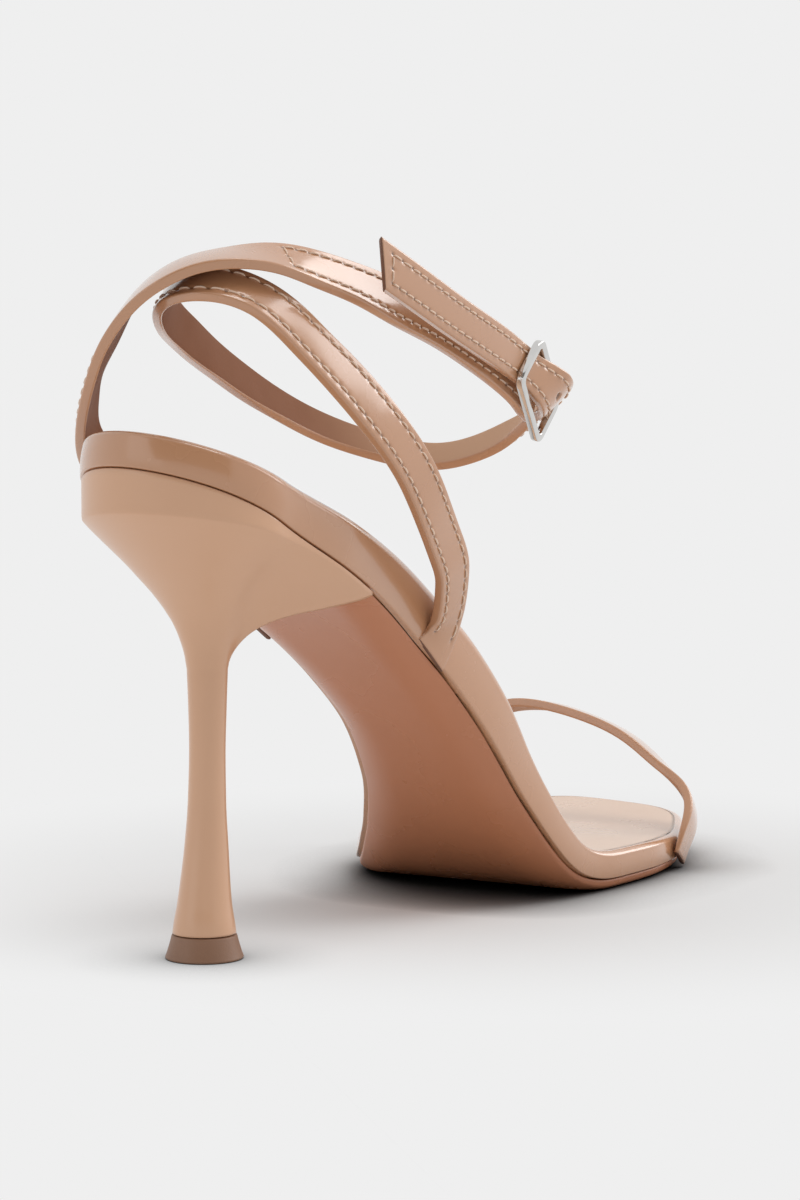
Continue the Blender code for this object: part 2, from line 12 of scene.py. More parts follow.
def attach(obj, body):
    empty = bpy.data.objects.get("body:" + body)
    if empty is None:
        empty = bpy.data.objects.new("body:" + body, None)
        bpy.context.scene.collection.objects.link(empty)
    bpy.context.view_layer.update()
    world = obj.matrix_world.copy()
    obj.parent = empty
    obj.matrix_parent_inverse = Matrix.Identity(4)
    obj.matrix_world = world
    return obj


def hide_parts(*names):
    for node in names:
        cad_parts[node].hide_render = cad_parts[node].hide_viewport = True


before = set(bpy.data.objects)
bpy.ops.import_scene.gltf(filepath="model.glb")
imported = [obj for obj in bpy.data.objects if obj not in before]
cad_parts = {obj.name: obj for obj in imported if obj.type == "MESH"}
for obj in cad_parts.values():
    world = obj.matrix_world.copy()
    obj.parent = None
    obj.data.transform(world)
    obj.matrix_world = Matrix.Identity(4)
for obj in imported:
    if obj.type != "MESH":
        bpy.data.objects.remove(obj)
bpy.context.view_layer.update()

# Insole: a stiff arched board with patent leather wrapped over its tall edge and glued underneath.
# The edge rolls over softly at the top and runs into the footbed that carries the foot.
# arc: length along the bottom of the last. slope: fall in degrees. lateral, medial: half widths.
# rim: edge height. lean: share of the slope the edge leans by. roll: tilt of the section in degrees.
MM = 0.001
Section = namedtuple("Section", "arc slope lateral medial rim lean roll")
SOLE = (
    Section(0, 21.3, 22.6, 22.2, 8.3, 0.35, 4.4),
    Section(22, 24.8, 22.6, 22.2, 8.7, 0.45, 4.0),
    Section(45, 25.7, 24.9, 23.9, 9.8, 0.65, 3.2),
    Section(75, 35.4, 24.2, 17.8, 11.5, 0.90, 3.0),
    Section(95, 43.6, 26.1, 12.8, 12.3, 1.00, 3.0),
    Section(110, 48.2, 27.6, 10.4, 11.6, 1.00, 2.4),
    Section(125, 50.4, 28.4, 11.9, 9.6, 1.00, 1.4),
    Section(140, 46.4, 29.9, 17.2, 8.0, 1.00, 0.4),
    Section(150, 38.3, 30.7, 22.6, 7.3, 1.00, 0.0),
    Section(164, 13.0, 31.6, 31.0, 6.4, 1.00, 0.0),
    Section(176, 0.0, 32.6, 36.6, 6.0, 1.00, 0.0),
    Section(190, 0.0, 33.0, 39.0, 5.8, 1.00, 0.0),
    Section(206, 0.0, 31.0, 37.6, 5.5, 1.00, 0.0),
    Section(220, -2.6, 27.2, 34.2, 5.4, 1.00, 0.0),
    Section(240, -3.6, 19.0, 25.4, 5.2, 1.00, 0.0),
    Section(256, -3.6, 12.4, 18.4, 5.2, 1.00, 0.0),
)
BACK_X = -25.1
TREAD_HEIGHT = 2.6
SOLE_LENGTH = 246.0
HEEL_ROUND, HEEL_POWER = 22.0, 1.95
TOE_ROUND, TOE_POWER, TOE_SLANT = 16.0, 3.4, 0.20
SLANT_FROM, SLANT_LENGTH = 200.0, 46.0
TREAD_ARC = 190.0
LINE_STEP, LINE_END = 0.25, 262.0
EDGE_PROBE = 0.02
SEAM = 0.3
SEAT_LIFT, SEAT_LIFT_END = 1.1, 45.0
WAIST_FROM, WAIST_TO = HEEL_ROUND + 1, SOLE_LENGTH - TOE_ROUND - 1
HEEL_STEPS, WAIST_STEPS, TOE_STEPS = 36, 140, 30
RIM_TUCK, RIM_FULL, RIM_LOWER, RIM_UPPER = 3.0, 0.2, 0.35, 1.9
LOWER_SHARE, UPPER_SHARE = 0.04, 0.78
LOWER_STEPS, RIM_STEPS, UPPER_STEPS = 6, 14, 16
UNDERSIDE_COLUMNS, FOOTBED_COLUMNS = 8, 48


def curve_through(knots, values, at):
    """Monotone cubic through table values: each stretch is a Hermite cubic with harmonic mean slopes."""
    x = np.asarray(knots, float)
    y = np.asarray(values, float)
    at = np.clip(np.asarray(at, float), x[0], x[-1])
    h = np.diff(x)
    rise = np.diff(y) / h
    slope = np.zeros(len(x))
    w1 = 2 * h[1:] + h[:-1]
    w2 = h[1:] + 2 * h[:-1]
    same = rise[1:] * rise[:-1] > 0
    before = np.where(same, rise[:-1], 1.0)
    after = np.where(same, rise[1:], 1.0)
    slope[1:-1] = np.where(same, (w1 + w2) / (w1 / before + w2 / after), 0.0)
    slope[0], slope[-1] = rise[0], rise[-1]
    k = np.clip(np.searchsorted(x, at) - 1, 0, len(h) - 1)
    t = (at - x[k]) / h[k]
    a = (1 + 2 * t) * (1 - t) ** 2 * y[k] + t * t * (3 - 2 * t) * y[k + 1]
    return a + h[k] * (t * (1 - t) ** 2 * slope[k] - t * t * (1 - t) * slope[k + 1])


def column(rows, name, at):
    """Named column of a table, read at any place by the monotone cubic through it."""
    return curve_through([r[0] for r in rows], [getattr(r, name) for r in rows], at)


def smooth_step(share):
    """Share clipped to 0 and 1, then eased at both ends as 3 t^2 - 2 t^3."""
    t = np.clip(share, 0, 1)
    return t * t * (3 - 2 * t)


FINE = np.arange(0.0, LINE_END, LINE_STEP)
FALL = np.radians(column(SOLE, "slope", FINE))
MID_FALL = (FALL[1:] + FALL[:-1]) / 2
LINE_X = BACK_X + np.concatenate([[0], np.cumsum(np.cos(MID_FALL) * LINE_STEP)])
LINE_Z = -np.concatenate([[0], np.cumsum(np.sin(MID_FALL) * LINE_STEP)])
LINE_Z = LINE_Z - LINE_Z[int(TREAD_ARC / LINE_STEP)] + TREAD_HEIGHT


def place(arc, y, up):
    """Point on the last: the summed slope gives the line, the height leans back with it and rolls with y."""
    arc = np.asarray(arc, float)
    beyond = np.minimum(arc, 0.0)
    x = np.interp(arc, FINE, LINE_X) + beyond * np.cos(FALL[0])
    z = np.interp(arc, FINE, LINE_Z) - beyond * np.sin(FALL[0])
    lean = np.interp(arc, FINE, FALL) * column(SOLE, "lean", arc)
    up = up + y * np.tan(np.radians(column(SOLE, "roll", arc)))
    return np.stack(np.broadcast_arrays(x + up * np.sin(lean), y, z + up * np.cos(lean)), -1)


def side_line(side, arc):
    """Side distance of the sole's edge: table half widths, closed by superellipse ends at heel and toe."""
    lateral = column(SOLE, "lateral", arc)
    medial = column(SOLE, "medial", arc)
    half = (medial + lateral) / 2
    back = np.clip((HEEL_ROUND - arc) / HEEL_ROUND, 0, 1)
    front = np.clip((arc - SOLE_LENGTH + TOE_ROUND) / TOE_ROUND, 0, 1)
    half = half * (1 - back ** HEEL_POWER) ** (1 / HEEL_POWER)
    half = half * (1 - front ** TOE_POWER) ** (1 / TOE_POWER)
    return (medial - lateral) / 2 + side * half


def edge(side, arc, inset):
    """Sole edge moved in along its own normal by inset, then slanted forward on the inner side of the toe."""
    arc = np.asarray(arc, float)
    low = np.clip(arc - EDGE_PROBE, 0, SOLE_LENGTH)
    high = np.clip(arc + EDGE_PROBE, 0, SOLE_LENGTH)
    turn = side * (side_line(side, high) - side_line(side, low)) / (high - low)
    size = np.sqrt(1 + turn * turn)
    y = side_line(side, arc)
    slant = TOE_SLANT * (y - side_line(0, arc)) * smooth_step((arc - SLANT_FROM) / SLANT_LENGTH)
    return arc + inset * turn / size + slant, y - side * inset / size


def quads(index):
    """Faces of a grid of point numbers: each cell joins a point, its right, its upper right and its upper."""
    return np.stack([index[:-1, :-1], index[:-1, 1:], index[1:, 1:], index[1:, :-1]], -1).reshape(-1, 4)


def wrapped(index):
    """The same grid with its first column repeated at the end, so it closes round."""
    return np.concatenate([index, index[:, :1]], 1)


def piece(name, points, faces, materials, picks=None):
    """Smooth mesh object from points in millimetres, riding on the shoe."""
    mesh = bpy.data.meshes.new(name)
    mesh.from_pydata((np.asarray(points) * MM).tolist(), [], faces)
    for material in materials:
        mesh.materials.append(material)
    if picks is not None:
        mesh.polygons.foreach_set("material_index", np.asarray(picks, np.int32))
    mesh.polygons.foreach_set("use_smooth", np.ones(len(mesh.polygons), bool))
    mesh.update()
    made = bpy.data.objects.new(name, mesh)
    bpy.context.scene.collection.objects.link(made)
    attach(made, "root")
    return made


def surface_tone_group():
    """Shared effect of every finish: cloudy colour, uneven gloss, and a height of soft waves with grain."""
    group = bpy.data.node_groups.new("surface_tone", "ShaderNodeTree")
    socket = group.interface.new_socket
    for name, kind in (("Light", "NodeSocketColor"), ("Deep", "NodeSocketColor"),
                       ("Cloud Scale", "NodeSocketFloat"), ("Wave Scale", "NodeSocketFloat"),
                       ("Grain Scale", "NodeSocketFloat"), ("Grain", "NodeSocketFloat"),
                       ("Rough Low", "NodeSocketFloat"), ("Rough High", "NodeSocketFloat")):
        socket(name, in_out="INPUT", socket_type=kind)
    for name, kind in (("Color", "NodeSocketColor"), ("Roughness", "NodeSocketFloat"),
                       ("Height", "NodeSocketFloat")):
        socket(name, in_out="OUTPUT", socket_type=kind)
    add, link = group.nodes.new, group.links.new
    given, result = add("NodeGroupInput"), add("NodeGroupOutput")
    where = add("ShaderNodeTexCoord")
    noise = {}
    for name, detail in (("Cloud", 4.0), ("Wave", 1.0), ("Grain", 3.0)):
        noise[name] = add("ShaderNodeTexNoise")
        noise[name].inputs["Detail"].default_value = detail
        link(where.outputs["Object"], noise[name].inputs["Vector"])
        link(given.outputs[name + " Scale"], noise[name].inputs["Scale"])
    tone = add("ShaderNodeMix")
    tone.data_type = "RGBA"
    link(noise["Cloud"].outputs["Fac"], tone.inputs["Factor"])
    link(given.outputs["Light"], tone.inputs["A"])
    link(given.outputs["Deep"], tone.inputs["B"])
    link(tone.outputs["Result"], result.inputs["Color"])
    gloss = add("ShaderNodeMapRange")
    link(noise["Cloud"].outputs["Fac"], gloss.inputs["Value"])
    link(given.outputs["Rough Low"], gloss.inputs["To Min"])
    link(given.outputs["Rough High"], gloss.inputs["To Max"])
    link(gloss.outputs["Result"], result.inputs["Roughness"])
    rise = add("ShaderNodeMath")
    rise.operation = "MULTIPLY_ADD"
    link(noise["Grain"].outputs["Fac"], rise.inputs[0])
    link(given.outputs["Grain"], rise.inputs[1])
    link(noise["Wave"].outputs["Fac"], rise.inputs[2])
    link(rise.outputs["Value"], result.inputs["Height"])
    return group


SURFACE_TONE = surface_tone_group()
# Painted shade: a near black brown mixed into needle and punched holes, for the shade inside them.
PIT_SHADE_TONE = (0.045, 0.022, 0.014, 1)


def surface(name, light, deep, scales, grain, rough, bump, coat, pits=False, shine=0.5, veil=0.08):
    """Finish of a piece: the shared tone feeds colour, roughness and bump; pits put painted shade in its
    holes.
    """
    made = bpy.data.materials.new(name)
    made.use_nodes = True
    add, link = made.node_tree.nodes.new, made.node_tree.links.new
    shader = made.node_tree.nodes["Principled BSDF"]
    tone = add("ShaderNodeGroup")
    tone.node_tree = SURFACE_TONE
    settings = ("Light", "Deep", "Cloud Scale", "Wave Scale", "Grain Scale", "Grain", "Rough Low",
                "Rough High")
    for setting, value in zip(settings, ((*light, 1), (*deep, 1), *scales, grain, *rough)):
        tone.inputs[setting].default_value = value
    colour = tone.outputs["Color"]
    # The hole mark mixes painted shade into the colour.
    if pits:
        mark = add("ShaderNodeAttribute")
        mark.attribute_name = "needle_pit"
        dark = add("ShaderNodeMix")
        dark.data_type = "RGBA"
        dark.inputs["B"].default_value = PIT_SHADE_TONE
        link(mark.outputs["Fac"], dark.inputs["Factor"])
        link(colour, dark.inputs["A"])
        colour = dark.outputs["Result"]
    relief = add("ShaderNodeBump")
    relief.inputs["Strength"].default_value = bump[0]
    relief.inputs["Distance"].default_value = bump[1] * MM
    link(colour, shader.inputs["Base Color"])
    link(tone.outputs["Roughness"], shader.inputs["Roughness"])
    link(tone.outputs["Height"], relief.inputs["Height"])
    link(relief.outputs["Normal"], shader.inputs["Normal"])
    shader.inputs["Coat Weight"].default_value = coat
    shader.inputs["Coat Roughness"].default_value = veil
    shader.inputs["Specular IOR Level"].default_value = shine
    return made


PATENT = surface("patent_leather", (0.520, 0.262, 0.136), (0.478, 0.234, 0.118), (55, 45, 1600), 0.10,
                 (0.22, 0.32), (0.10, 0.5), 1.0, pits=True, veil=0.13)
FOOTBED = surface("footbed_leather", (0.640, 0.430, 0.295), (0.600, 0.395, 0.265), (70, 50, 1800), 0.12,
                  (0.24, 0.32), (0.06, 0.4), 0.3)


def seat_lift(arc):
    """Height by which the seam under the seat rises at the back, easing to nothing along the sides."""
    return SEAT_LIFT * (1 - smooth_step(arc / SEAT_LIFT_END))


def rim_profile():
    """Edge of the insole as inset and height share: a small lower round, a faintly full side, a roll."""
    lower = np.radians(np.linspace(-90, 0, LOWER_STEPS))
    upper = np.radians(np.linspace(0, 90, UPPER_STEPS))
    side = np.linspace(0, 1, RIM_STEPS)[1:-1]
    inset = np.concatenate([[RIM_TUCK], RIM_FULL + RIM_LOWER * (1 - np.cos(lower)),
                            RIM_FULL * (2 * side - 1) ** 2, RIM_FULL + RIM_UPPER * (1 - np.cos(upper))])
    share = np.concatenate([[0.0], LOWER_SHARE * (1 + np.sin(lower)),
                            LOWER_SHARE + (UPPER_SHARE - LOWER_SHARE) * side,
                            UPPER_SHARE + (1 - UPPER_SHARE) * np.sin(upper)])
    return inset, share


def deck(points, ring, half, columns):
    """Grid of straight rows that closes a ring of the sole from side to side, with fans at heel and toe."""
    left, right = ring[1:half], ring[:half:-1]
    share = np.linspace(0, 1, columns + 1)[1:-1]
    inner = points[left][:, None] * (1 - share[:, None]) + points[right][:, None] * share[:, None]
    number = len(points) + np.arange(inner.shape[0] * inner.shape[1]).reshape(inner.shape[:2])
    index = np.concatenate([left[:, None], number, right[:, None]], 1)
    heel = [(ring[0], b, a) for a, b in zip(index[0], index[0, 1:])]
    toe = [(ring[half], a, b) for a, b in zip(index[-1], index[-1, 1:])]
    return np.concatenate([points, inner.reshape(-1, 3)]), quads(index).tolist() + heel + toe


def heel_arcs():
    """Arc lengths round the heel, crowded toward its back by a cosine."""
    return HEEL_ROUND * (1 - np.cos(np.radians(np.linspace(0, 90, HEEL_STEPS))))


def toe_arcs():
    """Arc lengths round the toe, crowded toward its tip by a sine."""
    return SOLE_LENGTH - TOE_ROUND * (1 - np.sin(np.radians(np.linspace(0, 90, TOE_STEPS))))


def insole_mesh():
    """Rings of the outline carried up the rim profile, closed below by a flat deck, above by the footbed."""
    waist = np.linspace(WAIST_FROM, WAIST_TO, WAIST_STEPS)
    inner = np.concatenate([heel_arcs(), waist, toe_arcs()])[1:-1]
    inset, share = rim_profile()
    inset, share = inset[:, None], share[:, None]
    arc_l, y_l = edge(-1, inner[None], inset)
    arc_m, y_m = edge(1, inner[None], inset)
    arc = np.concatenate([inset, arc_l, SOLE_LENGTH - inset, arc_m[:, ::-1]], 1)
    y = np.concatenate([0 * inset + side_line(0, 0.0), y_l, 0 * inset + side_line(0, SOLE_LENGTH),
                        y_m[:, ::-1]], 1)
    foot = seat_lift(arc)
    rings = place(arc, y, foot + share * (column(SOLE, "rim", arc) - foot))
    index = np.arange(rings[..., 0].size).reshape(rings.shape[:2])
    side = quads(wrapped(index)).tolist()
    half = len(inner) + 1
    points, below = deck(rings.reshape(-1, 3), index[0], half, UNDERSIDE_COLUMNS)
    points, above = deck(points, index[-1], half, FOOTBED_COLUMNS)
    below = [face[::-1] for face in below]
    return points, side + below + above, [0] * (len(side) + len(below)) + [1] * len(above)


points, faces, picks = insole_mesh()
insole = piece("insole_cover", points, faces, [PATENT, FOOTBED], picks)
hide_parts("insole")

# Outsole: a tan leather board glued under the insole from the heel's front face to the toe.
# It is crowned at the waist, lies flat at the tread, and its edge is rounded off by hand.
BREAST = 55.0
BREAST_GAP = 1.2
CROWN_POWER, BOARD_ROUND, BOARD_COLUMNS = 2.2, 0.5, 61
Crown = namedtuple("Crown", "arc inset edge full reach")
OUTSOLE_CROWN = (
    Crown(BREAST, 1.7, 0.4, 3.0, 10.0),
    Crown(110, 1.7, 0.4, 3.4, 10.0),
    Crown(150, 1.4, 0.7, 3.4, 11.0),
    Crown(172, 1.0, 1.2, TREAD_HEIGHT - SEAM, 2.5),
    Crown(260, 1.0, 1.2, TREAD_HEIGHT - SEAM, 2.5),
)
OUTSOLE = surface("outsole_leather", (0.530, 0.212, 0.105), (0.476, 0.183, 0.088), (45, 60, 900), 0.25,
                  (0.24, 0.31), (0.10, 0.3), 0.0)


def outsole_mesh():
    """Cross sections: flat on top, below a crown full * (1 - (1 - in / reach)^power), with round edges."""
    arcs = np.concatenate([np.linspace(BREAST + BREAST_GAP, WAIST_TO, WAIST_STEPS), toe_arcs()])[:-1]
    across = np.sin(np.radians(np.linspace(-90, 90, BOARD_COLUMNS)))
    inset = column(OUTSOLE_CROWN, "inset", arcs)
    arc_l, y_l = edge(-1, arcs, inset)
    arc_m, y_m = edge(1, arcs, inset)
    share = (across + 1) / 2
    arc = arc_l[:, None] * (1 - share) + arc_m[:, None] * share
    y = y_l[:, None] * (1 - share) + y_m[:, None] * share
    thin = column(OUTSOLE_CROWN, "edge", arcs)[:, None]
    full = column(OUTSOLE_CROWN, "full", arcs)[:, None]
    reach = column(OUTSOLE_CROWN, "reach", arcs)[:, None]
    room = np.maximum(y_m - y_l, BOARD_ROUND)[:, None] / 2
    inside = (1 - np.abs(across)) * room
    close = np.clip(1 - inside / BOARD_ROUND, 0, 1)
    rise = 1 - (1 - np.clip(inside / reach, 0, 1)) ** CROWN_POWER
    depth = (thin + (full - thin) * rise) * np.sqrt(1 - close ** 2)
    top = place(arc, y, np.full_like(arc, -SEAM))
    bottom = place(arc, y, -SEAM - depth)
    bottom[..., 2] = np.maximum(bottom[..., 2], 0.0)
    loop = np.concatenate([bottom, top[:, -2:0:-1]], 1)
    index = np.arange(loop[..., 0].size).reshape(loop.shape[:2])
    tip = place(SOLE_LENGTH - inset[-1], side_line(0, SOLE_LENGTH), -SEAM - thin[-1, 0] / 2)
    points = np.concatenate([loop.reshape(-1, 3), tip[None]])
    end = wrapped(index)[-1]
    fan = [(a, b, len(points) - 1) for a, b in zip(end, end[1:])]
    return points, quads(wrapped(index)).tolist() + fan + [tuple(index[0][::-1])]


points, faces = outsole_mesh()
outsole = piece("outsole_board", points, faces, [OUTSOLE])
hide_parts("outsole")

# Heel: a moulded core covered in one smooth nude skin, glued and nailed under the seat.
# An upright band follows the seat, breaks at a soft ridge into a goblet, and runs down to a round stem.
BREAST_HOLLOW = 2.5
BLOCK_INSET = 0.5
RIDGE_BACK, RIDGE_SLOPE, RIDGE_ROUND = 88.6, 0.21, 0.5
RIDGE_ROOM, RIDGE_FADE = 0.8, 4.0
RIDGE_FALLS, RIDGE_TRIM = (0.0, 0.004, 0.012), (0.004, 0.001)
GOBLET_FROM, NECK = 0.025, 57.0
FRONT_FROM, FRONT_SPAN = 150.0, 120.0
BAND_TOP, BAND_LEAST, BAND_THIN, SKIN_TUCK = 0.2, 0.1, 0.02, 0.25
SIDE_STEPS, BREAST_STEPS, BAND_ROWS, GOBLET_ROWS, STEM_ROWS = 40, 50, 10, 90, 130
Flare = namedtuple("Flare", "fall back front")
GOBLET = (
    Flare(0.0, 1.0, 1.0),
    Flare(0.06, 0.92, 0.93),
    Flare(0.125, 0.83, 0.80),
    Flare(0.19, 0.742, 0.64),
    Flare(0.25, 0.66, 0.48),
    Flare(0.31, 0.578, 0.36),
    Flare(0.375, 0.494, 0.27),
    Flare(0.5, 0.332, 0.155),
    Flare(0.6, 0.222, 0.10),
    Flare(0.7, 0.132, 0.06),
    Flare(0.8, 0.07, 0.03),
    Flare(0.9, 0.025, 0.012),
    Flare(1.0, 0.0, 0.0),
)
Ring = namedtuple("Ring", "height radius lean")
STEM = (
    Ring(5.0, 6.30, 0.0),
    Ring(7.0, 6.05, 0.0),
    Ring(10.5, 5.45, 0.1),
    Ring(15.5, 4.90, 0.4),
    Ring(21.4, 4.40, 0.8),
    Ring(31.0, 3.78, 1.1),
    Ring(41.0, 3.60, 1.3),
    Ring(50.0, 3.80, 1.4),
    Ring(57.0, 4.05, 1.4),
)
HEEL_COVER = surface("heel_cover", (0.660, 0.385, 0.236), (0.616, 0.350, 0.210), (40, 30, 1400), 0.06,
                     (0.28, 0.35), (0.05, 0.4), 0.3, veil=0.16)


def heel_mesh():
    """Rings of the seat outline: down the band, in by the goblet's spread table, then the stem's radii."""
    arcs = np.concatenate([heel_arcs(), np.linspace(WAIST_FROM, BREAST - SEAM / 2, SIDE_STEPS)])
    arc_l, y_l = edge(-1, arcs[1:], BLOCK_INSET)
    arc_m, y_m = edge(1, arcs[1:], BLOCK_INSET)
    share = np.linspace(0, 1, BREAST_STEPS)[1:-1]
    arc = np.concatenate([[BLOCK_INSET], arc_l, arcs[-1] - BREAST_HOLLOW * (1 - (2 * share - 1) ** 2),
                          arc_m[::-1]])
    y = np.concatenate([[side_line(0, 0.0)], y_l, y_l[-1] + (y_m[-1] - y_l[-1]) * share, y_m[::-1]])
    seat = place(arc, y, seat_lift(arc) - SEAM)
    ridge = RIDGE_BACK - RIDGE_SLOPE * (seat[:, 0] - BACK_X)
    room = seat[:, 2] - RIDGE_ROOM
    ease = np.clip(0.5 + (room - ridge) / (2 * RIDGE_FADE), 0, 1)
    ridge = room + (ridge - room) * ease - RIDGE_FADE * ease * (1 - ease)
    stem = STEM[-1]
    middle = np.array([stem.lean, 0.0])
    away = seat[:, :2] - middle
    angle = np.arctan2(away[:, 1], away[:, 0])
    ring = np.stack([np.cos(angle), np.sin(angle)], -1) * stem.radius
    ahead = smooth_step((FRONT_FROM - np.degrees(np.abs(angle))) / FRONT_SPAN)
    fall = np.concatenate([RIDGE_FALLS, np.linspace(GOBLET_FROM, 1, GOBLET_ROWS)])
    out = column(GOBLET, "back", fall)[:, None] * (1 - ahead) + column(GOBLET, "front", fall)[:, None] * ahead
    out[:2] -= np.array(RIDGE_TRIM)[:, None]
    flat = ring + (away - ring) * out[..., None] + middle
    drop = ridge + (NECK - ridge) * fall[:, None]
    goblet = np.concatenate([flat, drop[..., None]], -1)
    band = np.linspace(0, 1, BAND_ROWS)[:, None, None]
    upper = seat.copy()
    upper[:, 2] = np.maximum(seat[:, 2] - BAND_TOP, ridge + BAND_LEAST)
    lower = seat.copy()
    lower[:, 2] = np.minimum(ridge + RIDGE_ROUND, upper[:, 2] - BAND_THIN)
    shrunk = seat.copy()
    shrunk[:, :2] = middle + away * (1 - SKIN_TUCK / np.linalg.norm(away, axis=1))[:, None]
    height = np.linspace(NECK, STEM[0].height, STEM_ROWS)[1:, None]
    radius = column(STEM, "radius", height)
    shaft = np.stack(np.broadcast_arrays(column(STEM, "lean", height) + radius * np.cos(angle),
                                         radius * np.sin(angle), height), -1)
    rings = np.concatenate([shrunk[None], upper * (1 - band) + lower * band, goblet, shaft])
    index = np.arange(rings[..., 0].size).reshape(rings.shape[:2])
    return rings.reshape(-1, 3), quads(wrapped(index)).tolist() + [tuple(index[0][::-1]), tuple(index[-1])]


points, faces = heel_mesh()
heel = piece("heel_block", points, faces, [HEEL_COVER])
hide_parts("heel")

# Heel tip: a brown rubber lift pinned under the stem, a low cone that widens to the floor.
# Its lower edge is ground round and its side is matt, with a fine grain.
TIP_HEIGHT = STEM[0].height - SEAM
TIP_TOP, TIP_BASE, TIP_POWER = 6.45, 7.75, 0.85
TIP_LOWER, TIP_UPPER = ((0.45, 0.0), (0.2, 0.05), (0.06, 0.17)), ((0.05, 0.06), (0.2, 0.0))
TIP_GROUND, TIP_EASE = 0.35, 0.15
TIP_ROWS, TIP_SIDES = 24, 96
TIP_RUBBER = surface("tip_rubber", (0.270, 0.142, 0.084), (0.235, 0.122, 0.072), (120, 90, 2200), 0.5,
                     (0.42, 0.55), (0.25, 0.3), 0.0)


def lathe(profile, sides):
    """Profile of radius and height turned round Z, its two ends closed by flat fans."""
    turn = np.linspace(0, 2 * np.pi, sides, endpoint=False)
    radius, height = profile[:, :1], profile[:, 1:]
    rings = np.stack(np.broadcast_arrays(radius * np.cos(turn), radius * np.sin(turn), height), -1)
    index = np.arange(rings[..., 0].size).reshape(rings.shape[:2])
    return rings.reshape(-1, 3), quads(wrapped(index)).tolist() + [tuple(index[0][::-1]), tuple(index[-1])]


def tip_profile():
    """Side of the tip: a ground lower round, a slightly hollow cone and a small upper round."""
    t = np.linspace(0, 1, TIP_ROWS)
    side = np.stack([TIP_BASE + (TIP_TOP - TIP_BASE) * t ** TIP_POWER,
                     TIP_GROUND + (TIP_HEIGHT - TIP_GROUND - TIP_EASE) * t], -1)
    low = [(TIP_BASE - inset, height) for inset, height in TIP_LOWER]
    high = [(TIP_TOP - inset, TIP_HEIGHT - drop) for inset, drop in TIP_UPPER]
    return np.concatenate([low, side, high])


points, faces = lathe(tip_profile(), TIP_SIDES)
tip = piece("heel_tip", points, faces, [TIP_RUBBER])
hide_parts("toplift")

# Toe strap: a folded patent strip over the toes, lined in brown, its two ends tucked under the insole.
# facing: direction the outer face looks, 0 back and 90 outward. tilt: how far it looks up.
# T: thickness where the strap is free. SQUARE_CUT: slant, skew and easing of a plain end.
Knot = namedtuple("Knot", "x y z facing tilt width thick")
T = 2.1
TOE_STRAP = (
    Knot(149.5, -31.6, 2.6, 106, 0, 10.0, 1.0),
    Knot(151.9, -31.9, 7.0, 107, 0, 9.6, 1.5),
    Knot(155.9, -31.4, 11.8, 114, 8, 9.5, T),
    Knot(159.8, -28.0, 16.6, 117, 26, 9.5, T),
    Knot(162.2, -21.6, 21.2, 118, 46, 9.5, T),
    Knot(163.8, -11.8, 27.8, 124, 63, 9.5, T),
    Knot(164.6, 1.0, 32.6, 152, 77, 9.5, T),
    Knot(164.4, 12.0, 34.8, 205, 80, 9.5, T),
    Knot(163.4, 22.0, 34.2, 250, 66, 9.5, T),
    Knot(161.8, 30.4, 30.0, 262, 46, 9.5, T),
    Knot(159.6, 36.4, 22.2, 268, 26, 9.5, T),
    Knot(157.0, 38.6, 13.0, 264, 8, 9.5, T),
    Knot(154.4, 38.3, 7.0, 257, 0, 9.6, 1.5),
    Knot(152.8, 37.6, 2.6, 256, 0, 11.0, 1.0),
)
TOE_STEP = 0.8
SQUARE_CUT = (0.0, 0.0, 1.0)
OUTER_COUNT, EDGE_COUNT, INNER_COUNT = 36, 10, 10
STRAP_CORNER, CORNER_SHARE, STRAP_CROWN = 0.45, 0.9, 0.15
LINING = surface("strap_lining", (0.215, 0.084, 0.038), (0.184, 0.070, 0.031), (90, 120, 1500), 0.5,
                 (0.50, 0.62), (0.18, 0.3), 0.0, shine=0.06)
CUT_EDGE = surface("strap_cut_edge", (0.200, 0.090, 0.052), (0.160, 0.070, 0.040), (300, 400, 2500), 0.8,
                   (0.60, 0.75), (0.3, 0.3), 0.0)
Line = namedtuple("Line", "along path across face run width thick")
# Painted sheen: the lining's colour turns paler toward the toe and the outer side, standing in for light
# glancing off it.
SHEEN_TOWARD, SHEEN_FROM, SHEEN_TO = (1, -1, 0), 0.040, 0.105
SHEEN_TONE = (0.51, 0.31, 0.20)


def painted_sheen(material, toward, start, end, tone):
    """Paints a sheen on a leather: the distance along a direction, eased from start to end, mixes in the
    paler tone.
    """
    add, link = material.node_tree.nodes.new, material.node_tree.links.new
    base = material.node_tree.nodes["Principled BSDF"].inputs["Base Color"]
    where, along = add("ShaderNodeTexCoord"), add("ShaderNodeVectorMath")
    ease, sheen = add("ShaderNodeMapRange"), add("ShaderNodeMix")
    along.operation, ease.interpolation_type, sheen.data_type = "DOT_PRODUCT", "SMOOTHSTEP", "RGBA"
    along.inputs[1].default_value = toward
    ease.inputs["From Min"].default_value, ease.inputs["From Max"].default_value = start, end
    sheen.inputs["B"].default_value = (*tone, 1)
    link(where.outputs["Object"], along.inputs[0])
    link(along.outputs["Value"], ease.inputs["Value"])
    link(ease.outputs["Result"], sheen.inputs["Factor"])
    link(base.links[0].from_socket, sheen.inputs["A"])
    link(sheen.outputs["Result"], base)


# The lining gets its painted sheen, paler toward the toe and the outer side.
painted_sheen(LINING, SHEEN_TOWARD, SHEEN_FROM, SHEEN_TO, SHEEN_TONE)


